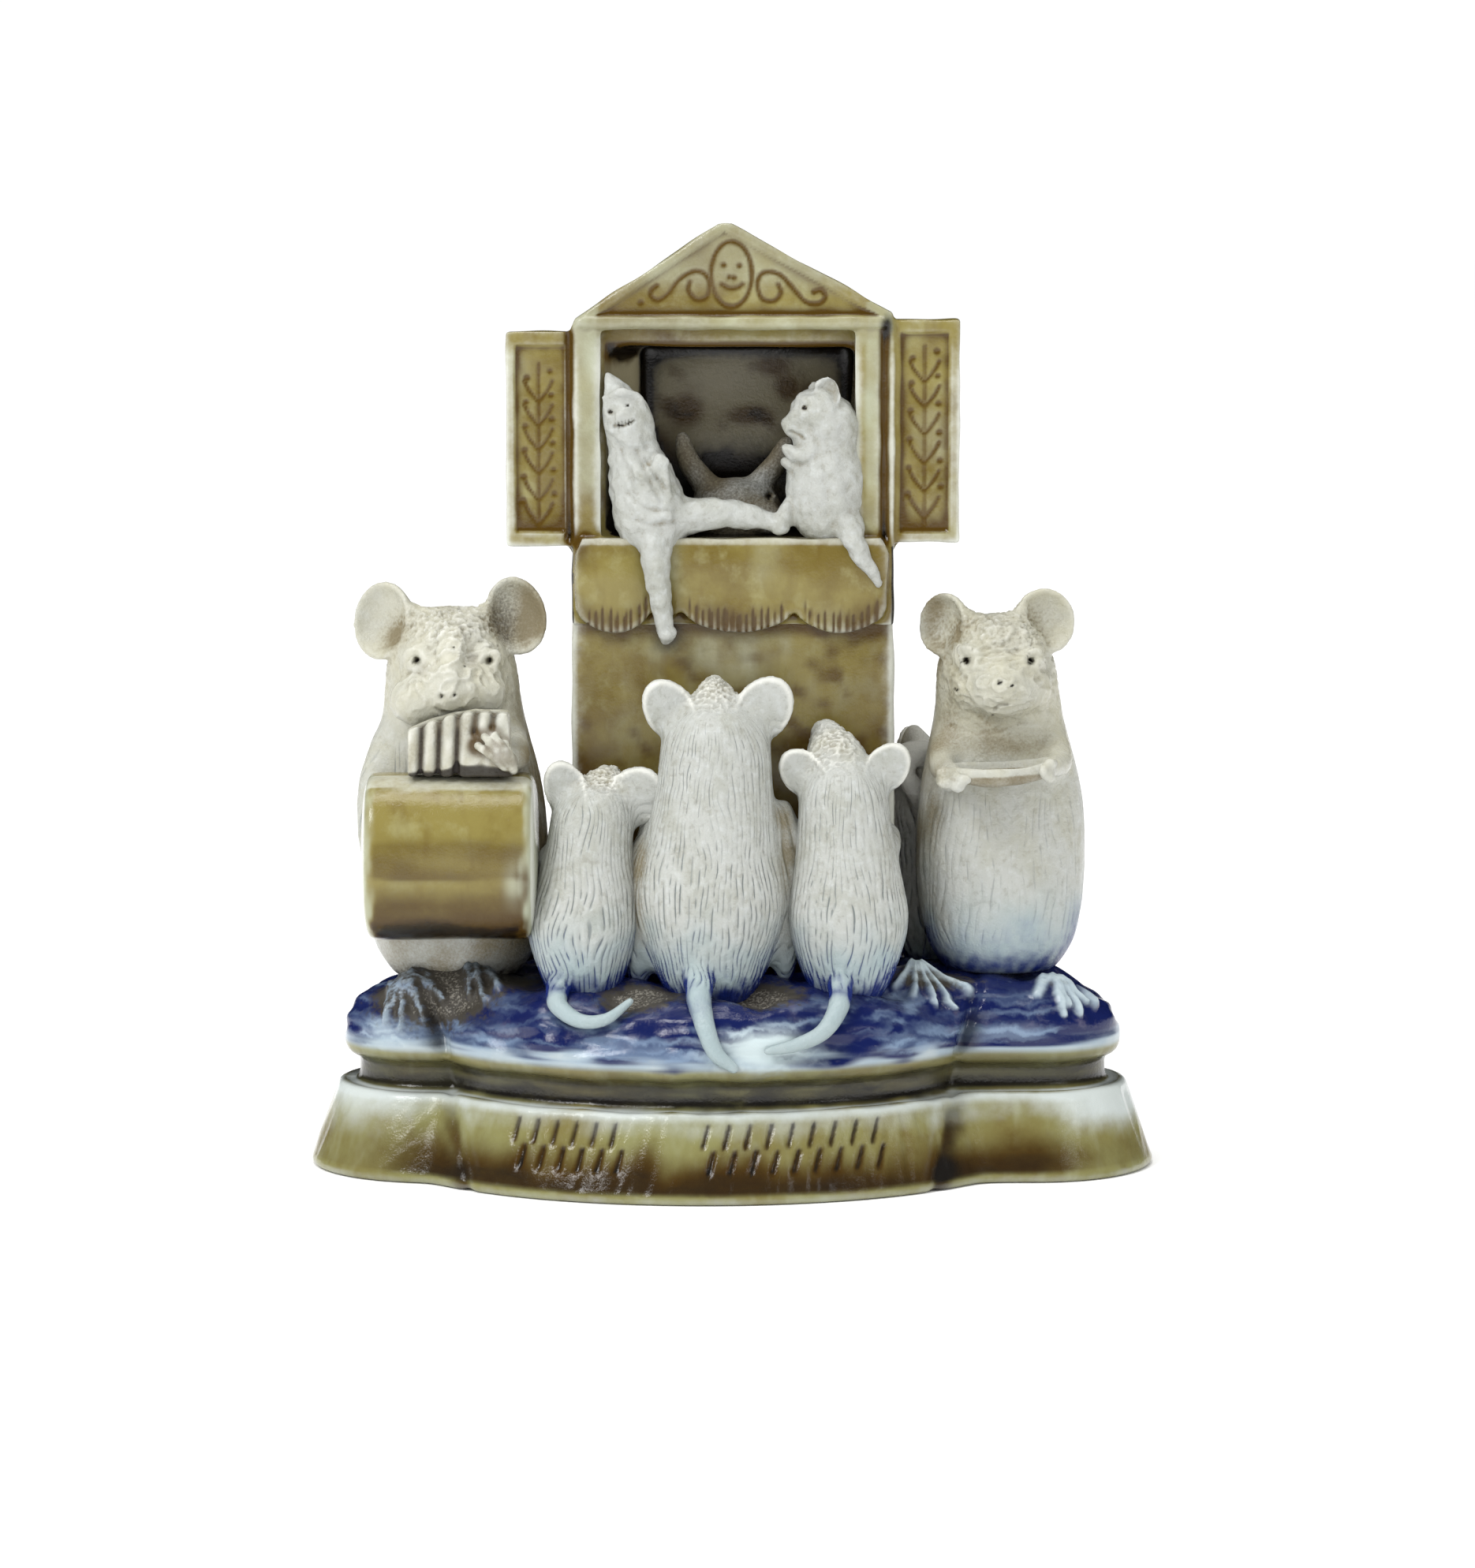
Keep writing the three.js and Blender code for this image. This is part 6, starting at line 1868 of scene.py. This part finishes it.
def glaze(name, base, clouds, layers, roughness, matte, texture):
    """A glaze: a clouded base, then layers, then gloss and a fine skin.

    A cloud is (colour, field, low, high, share) and a layer (mask, colour, low, high, share, field). A layer
    covers by smoothstep from low to high of mask + share * (field - 0.5). Combed lines are drawn where the
    turn is near a whole number, and "blued" ones only where cobalt creeps in.
    """
    material = bpy.data.materials.new(name)
    material.use_nodes = True
    tree = material.node_tree
    shader = tree.nodes["Principled BSDF"]
    start = Wire(tree, None)
    used = {"around", "turn", "comb", "tint", *(key for key, *_ in (*layers, *matte))} - {"blued"}
    masks = {}
    for key in sorted(used):
        masks[key] = start.out("ShaderNodeAttribute", {"attribute_name": key}, {}, "Fac")
    fields = noise_fields(start, start.out("ShaderNodeTexCoord", {}, {}, "Object"), masks["around"])
    line = start.math("PINGPONG", masks["turn"], 0.5).ramp(0.16, 0.04)
    combed = (masks["comb"] * line * fields["stroke"].ramp(0.33, 0.53) * 1.2).clamped()
    covers = {**masks, "comb": combed, "blued": combed * masks["tint"]}
    colour = start.out("ShaderNodeRGB", {}, {}, 0)
    colour.socket.default_value = srgb(*base)
    for other, field, low_end, high_end, share in clouds:
        colour = colour.mix(srgb(*other), fields[field].ramp(low_end, high_end) * share)
    for key, other, low_end, high_end, share, field in layers:
        cover = covers[key]
        ragged = cover + cover.ramp(0.0, 0.2) * (fields[field] - 0.5) * share
        colour = colour.mix(srgb(*other), ragged.ramp(low_end, high_end))
    tree.links.new(colour.socket, shader.inputs["Base Color"])
    rough = fields[5.0] * ROUGHNESS_SPREAD + (roughness - ROUGHNESS_SPREAD / 2)
    for key, other in matte:
        rough = rough + masks[key].clamped() * (other - roughness)
    tree.links.new(rough.clamped().socket, shader.inputs["Roughness"])
    shader.inputs["IOR"].default_value = GLAZE_IOR
    height = fields[0.35] * texture + fields[1.2] * texture * 1.6 - combed * COMB_DEPTH
    skin_bump = {"Strength": BUMP_STRENGTH, "Distance": BUMP_DISTANCE, "Height": height}
    bump = start.node("ShaderNodeBump", {}, skin_bump)
    tree.links.new(bump.outputs["Normal"], shader.inputs["Normal"])
    print(name + ":", len(layers), "layers and", len(tree.nodes), "nodes")
    return material


# %% [markdown]
# ### Pale satin glaze
# It covers the mice, the puppets, the pipes and the dish. Edges are nearly white, as are the painted
# highlights, and combed lines are grey, or blue where cobalt ran down them. Holes, and the painted shade
# deep in the pipes' grooves, are almost black; dirt and painted shade darken hollows and shaded sides.

# %% Pale satin glaze
FUR = glaze(
    "pale satin glaze", base=(175, 177, 172),
    clouds=[
        ((150, 151, 138), 5.0, 0.42, 0.7, 0.5),
        ((190, 194, 192), 1.2, 0.5, 0.7, 0.5),
        ((138, 138, 126), 1.2, 0.45, 0.33, 0.4),
    ],
    layers=[
        ("tint", (150, 168, 172), 0.0, 1.3, 0.5, 5.0),
        ("cream", (184, 180, 156), 0.0, 1.5, 0.9, 5.0),
        # White edges, painted highlights and painted light.
        ("edge", (224, 224, 216), 0.0, 1.2, 0.2, 1.2),
        ("comb", (122, 128, 126), 0.05, 0.9, 0.0, 1.2),
        ("blued", (70, 90, 132), 0.1, 1.1, 0.0, 1.2),
        ("cut", (110, 110, 100), 0.05, 1.1, 0.4, 1.2),
        # Dirt, and painted shade in hollows and on shaded sides.
        ("dirt", (124, 114, 88), 0.05, 1.1, 0.9, 0.35),
        ("blue", (22, 38, 104), 0.05, 0.95, 0.5, 1.2),
        ("brown", (82, 66, 40), 0.05, 0.95, 0.3, 1.2),
        ("crust", (70, 65, 58), 0.1, 1.0, 0.9, 0.35),
        # Pin holes, and painted shade in the pipes' grooves and along their foot.
        ("pit", (26, 19, 12), 0.2, 0.8, 0.0, 1.2),
    ],
    roughness=0.22, matte=[("dirt", 0.5), ("crust", 0.5)], texture=0.85)

# %% [markdown]
# ### Olive glaze
# The booth and the drum carry an iron glaze: olive where it is thin, brown where it ran, black where it
# pooled and in painted shade and shadows, and white on the edges and in a painted highlight.

# %% Olive glaze
BOOTH = glaze(
    "olive glaze", base=(130, 119, 66),
    clouds=[
        ((102, 86, 38), 16.0, 0.42, 0.62, 0.8),
        ((152, 148, 104), 5.0, 0.5, 0.72, 0.6),
        ((90, 68, 26), "run", 0.5, 0.74, 0.32),
    ],
    layers=[
        ("tint", (172, 176, 154), 0.0, 1.1, 0.5, 5.0),
        ("inside", (136, 129, 104), 0.0, 1.15, 0.2, 5.0),
        ("brown", (74, 54, 15), 0.05, 0.95, 0.45, 5.0),
        ("dirt", (120, 108, 86), 0.05, 1.2, 0.8, 0.35),
        ("edge", (202, 204, 194), 0.05, 0.95, 0.4, 1.2),
        ("ink", (84, 64, 24), 0.3, 1.05, 0.5, 1.2),
        # Pooled glaze, painted shade and painted shadows.
        ("dark", (16, 11, 6), 0.05, 1.0, 0.4, 1.2),
    ],
    roughness=0.12, matte=[("dirt", 0.5)], texture=0.25)

# %% [markdown]
# ### Cobalt and brown glaze
# The plinth is olive and brown as the booth is. The ground is pale under its cobalt, with thin streaks
# round it and grey crust in the hollows. The second blue shows only where the noise is strongest: the dull
# patches in which cobalt boiled.

# %% Cobalt and brown glaze
EARTH = glaze(
    "cobalt and brown glaze", base=(128, 126, 82),
    clouds=[
        ((112, 102, 58), 16.0, 0.4, 0.65, 0.8),
        ((152, 154, 124), "run", 0.45, 0.8, 0.45),
        ((100, 84, 42), 5.0, 0.55, 0.75, 0.5),
    ],
    layers=[
        ("ground", (150, 166, 178), 0.0, 1.0, 0.0, 5.0),
        ("brown", (66, 46, 15), 0.0, 1.1, 0.5, 5.0),
        ("blue", (20, 29, 76), 0.05, 0.95, 0.4, 5.0),
        ("blue", (84, 82, 106), 1.12, 1.6, 2.2, 5.0),
        ("streak", (122, 142, 166), 0.45, 1.5, 1.6, "streak"),
        ("crust", (66, 62, 55), 0.3, 0.75, 1.3, 1.2),
        ("crust", (128, 124, 114), 0.95, 1.15, 1.1, 0.35),
        ("white", (188, 195, 192), 0.05, 1.0, 0.7, 5.0),
        ("pale", (190, 204, 206), 0.05, 0.9, 0.8, "streak"),
        # Dark glaze in the groove, creases, strokes and foot; in the groove also painted shade under the
        # ground's overhang.
        ("dark", (28, 26, 24), 0.0, 1.05, 0.4, "streak"),
    ],
    roughness=0.1, matte=[("crust", 0.5)], texture=0.25)

# %% [markdown]
# ## The pieces
# Every surface becomes a closed mesh in metres, with its masks as attributes. A grid ends in a small ring at
# each pole, which is drawn together into one corner. All pieces are one fired piece, so they ride on the
# one body and stand for the one solid.

# %% Closing the poles of a grid
def closed_grid(surface, rows, columns):
    """Corners, faces and masks of a grid whose first and last rings became one corner each."""
    inner = slice(columns, (rows - 1) * columns)
    ring = np.arange(columns)
    beside = np.roll(ring, -1)
    count, last_ring = (rows - 2) * columns, (rows - 3) * columns
    faces = (surface.quads[columns:-columns] - columns).tolist()
    faces += np.stack([beside, ring, np.full(columns, count)], -1).tolist()
    faces += np.stack([ring + last_ring, beside + last_ring, np.full(columns, count + 1)], -1).tolist()

    def drawn_together(values):
        first, last = values[:columns].mean(0)[None], values[-columns:].mean(0)[None]
        return np.concatenate([values[inner], first, last])

    return drawn_together(surface.p), faces, {key: drawn_together(v) for key, v in surface.masks.items()}


print("poles closed for the plinth, the drum and the dish")

# %% Meshes with their masks
UNBOUNDED = ("turn", "around")


def show(name, surface, material, grid=None):
    """A mesh in metres with its masks as attributes, kept between 0 and 1 but for lengths and turns."""
    corners, faces, masks = surface.p, surface.quads.tolist(), surface.masks
    if grid:
        corners, faces, masks = closed_grid(surface, *grid)
    mesh = bpy.data.meshes.new(name)
    mesh.from_pydata((corners * MM).tolist(), [], faces)
    mesh.polygons.foreach_set("use_smooth", np.ones(len(mesh.polygons), bool))
    for key, values in masks.items():
        values = values if key in UNBOUNDED else np.clip(values, 0, 1)
        mesh.attributes.new(key, "FLOAT", "POINT").data.foreach_set("value", values.astype(np.float32))
    mesh.materials.append(material)
    piece = bpy.data.objects.new(name, mesh)
    bpy.context.scene.collection.objects.link(piece)
    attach(piece, "root")
    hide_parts("mouse_group")
    piece.data.calc_loop_triangles()
    print(f"{piece.name:20s}", len(piece.data.loop_triangles), "triangles")
    return piece


made = [
    show("plinth_and_ground", base, EARTH, (ROW_COUNT, COLUMN_COUNT)),
    show("booth_walls", walls, BOOTH),
    show("booth_front", front, BOOTH),
    show("drum", drum, BOOTH, (DRUM_ROWS, DRUM_COLUMNS)),
]

# %% [markdown]
# The deepest cuts of the figures are pin holes. They get a mask of their own, so that they can be nearly
# black while a scored whisker stays grey.

# %% The pale pieces
for figure in (*figures.values(), players, showman):
    figure.masks["pit"] = step(0.74, 0.92, figure.masks["cut"])
made += [
    show("pan_pipes", pipes, FUR),
    show("dish", dish, FUR, (DISH_ROWS, DISH_COLUMNS)),
    show("players", players, FUR),
    show("showman", showman, FUR),
    *(show(name.replace(" ", "_"), figure, FUR) for name, figure in figures.items()),
]
print("triangles in all:", sum(len(piece.data.loop_triangles) for piece in made))
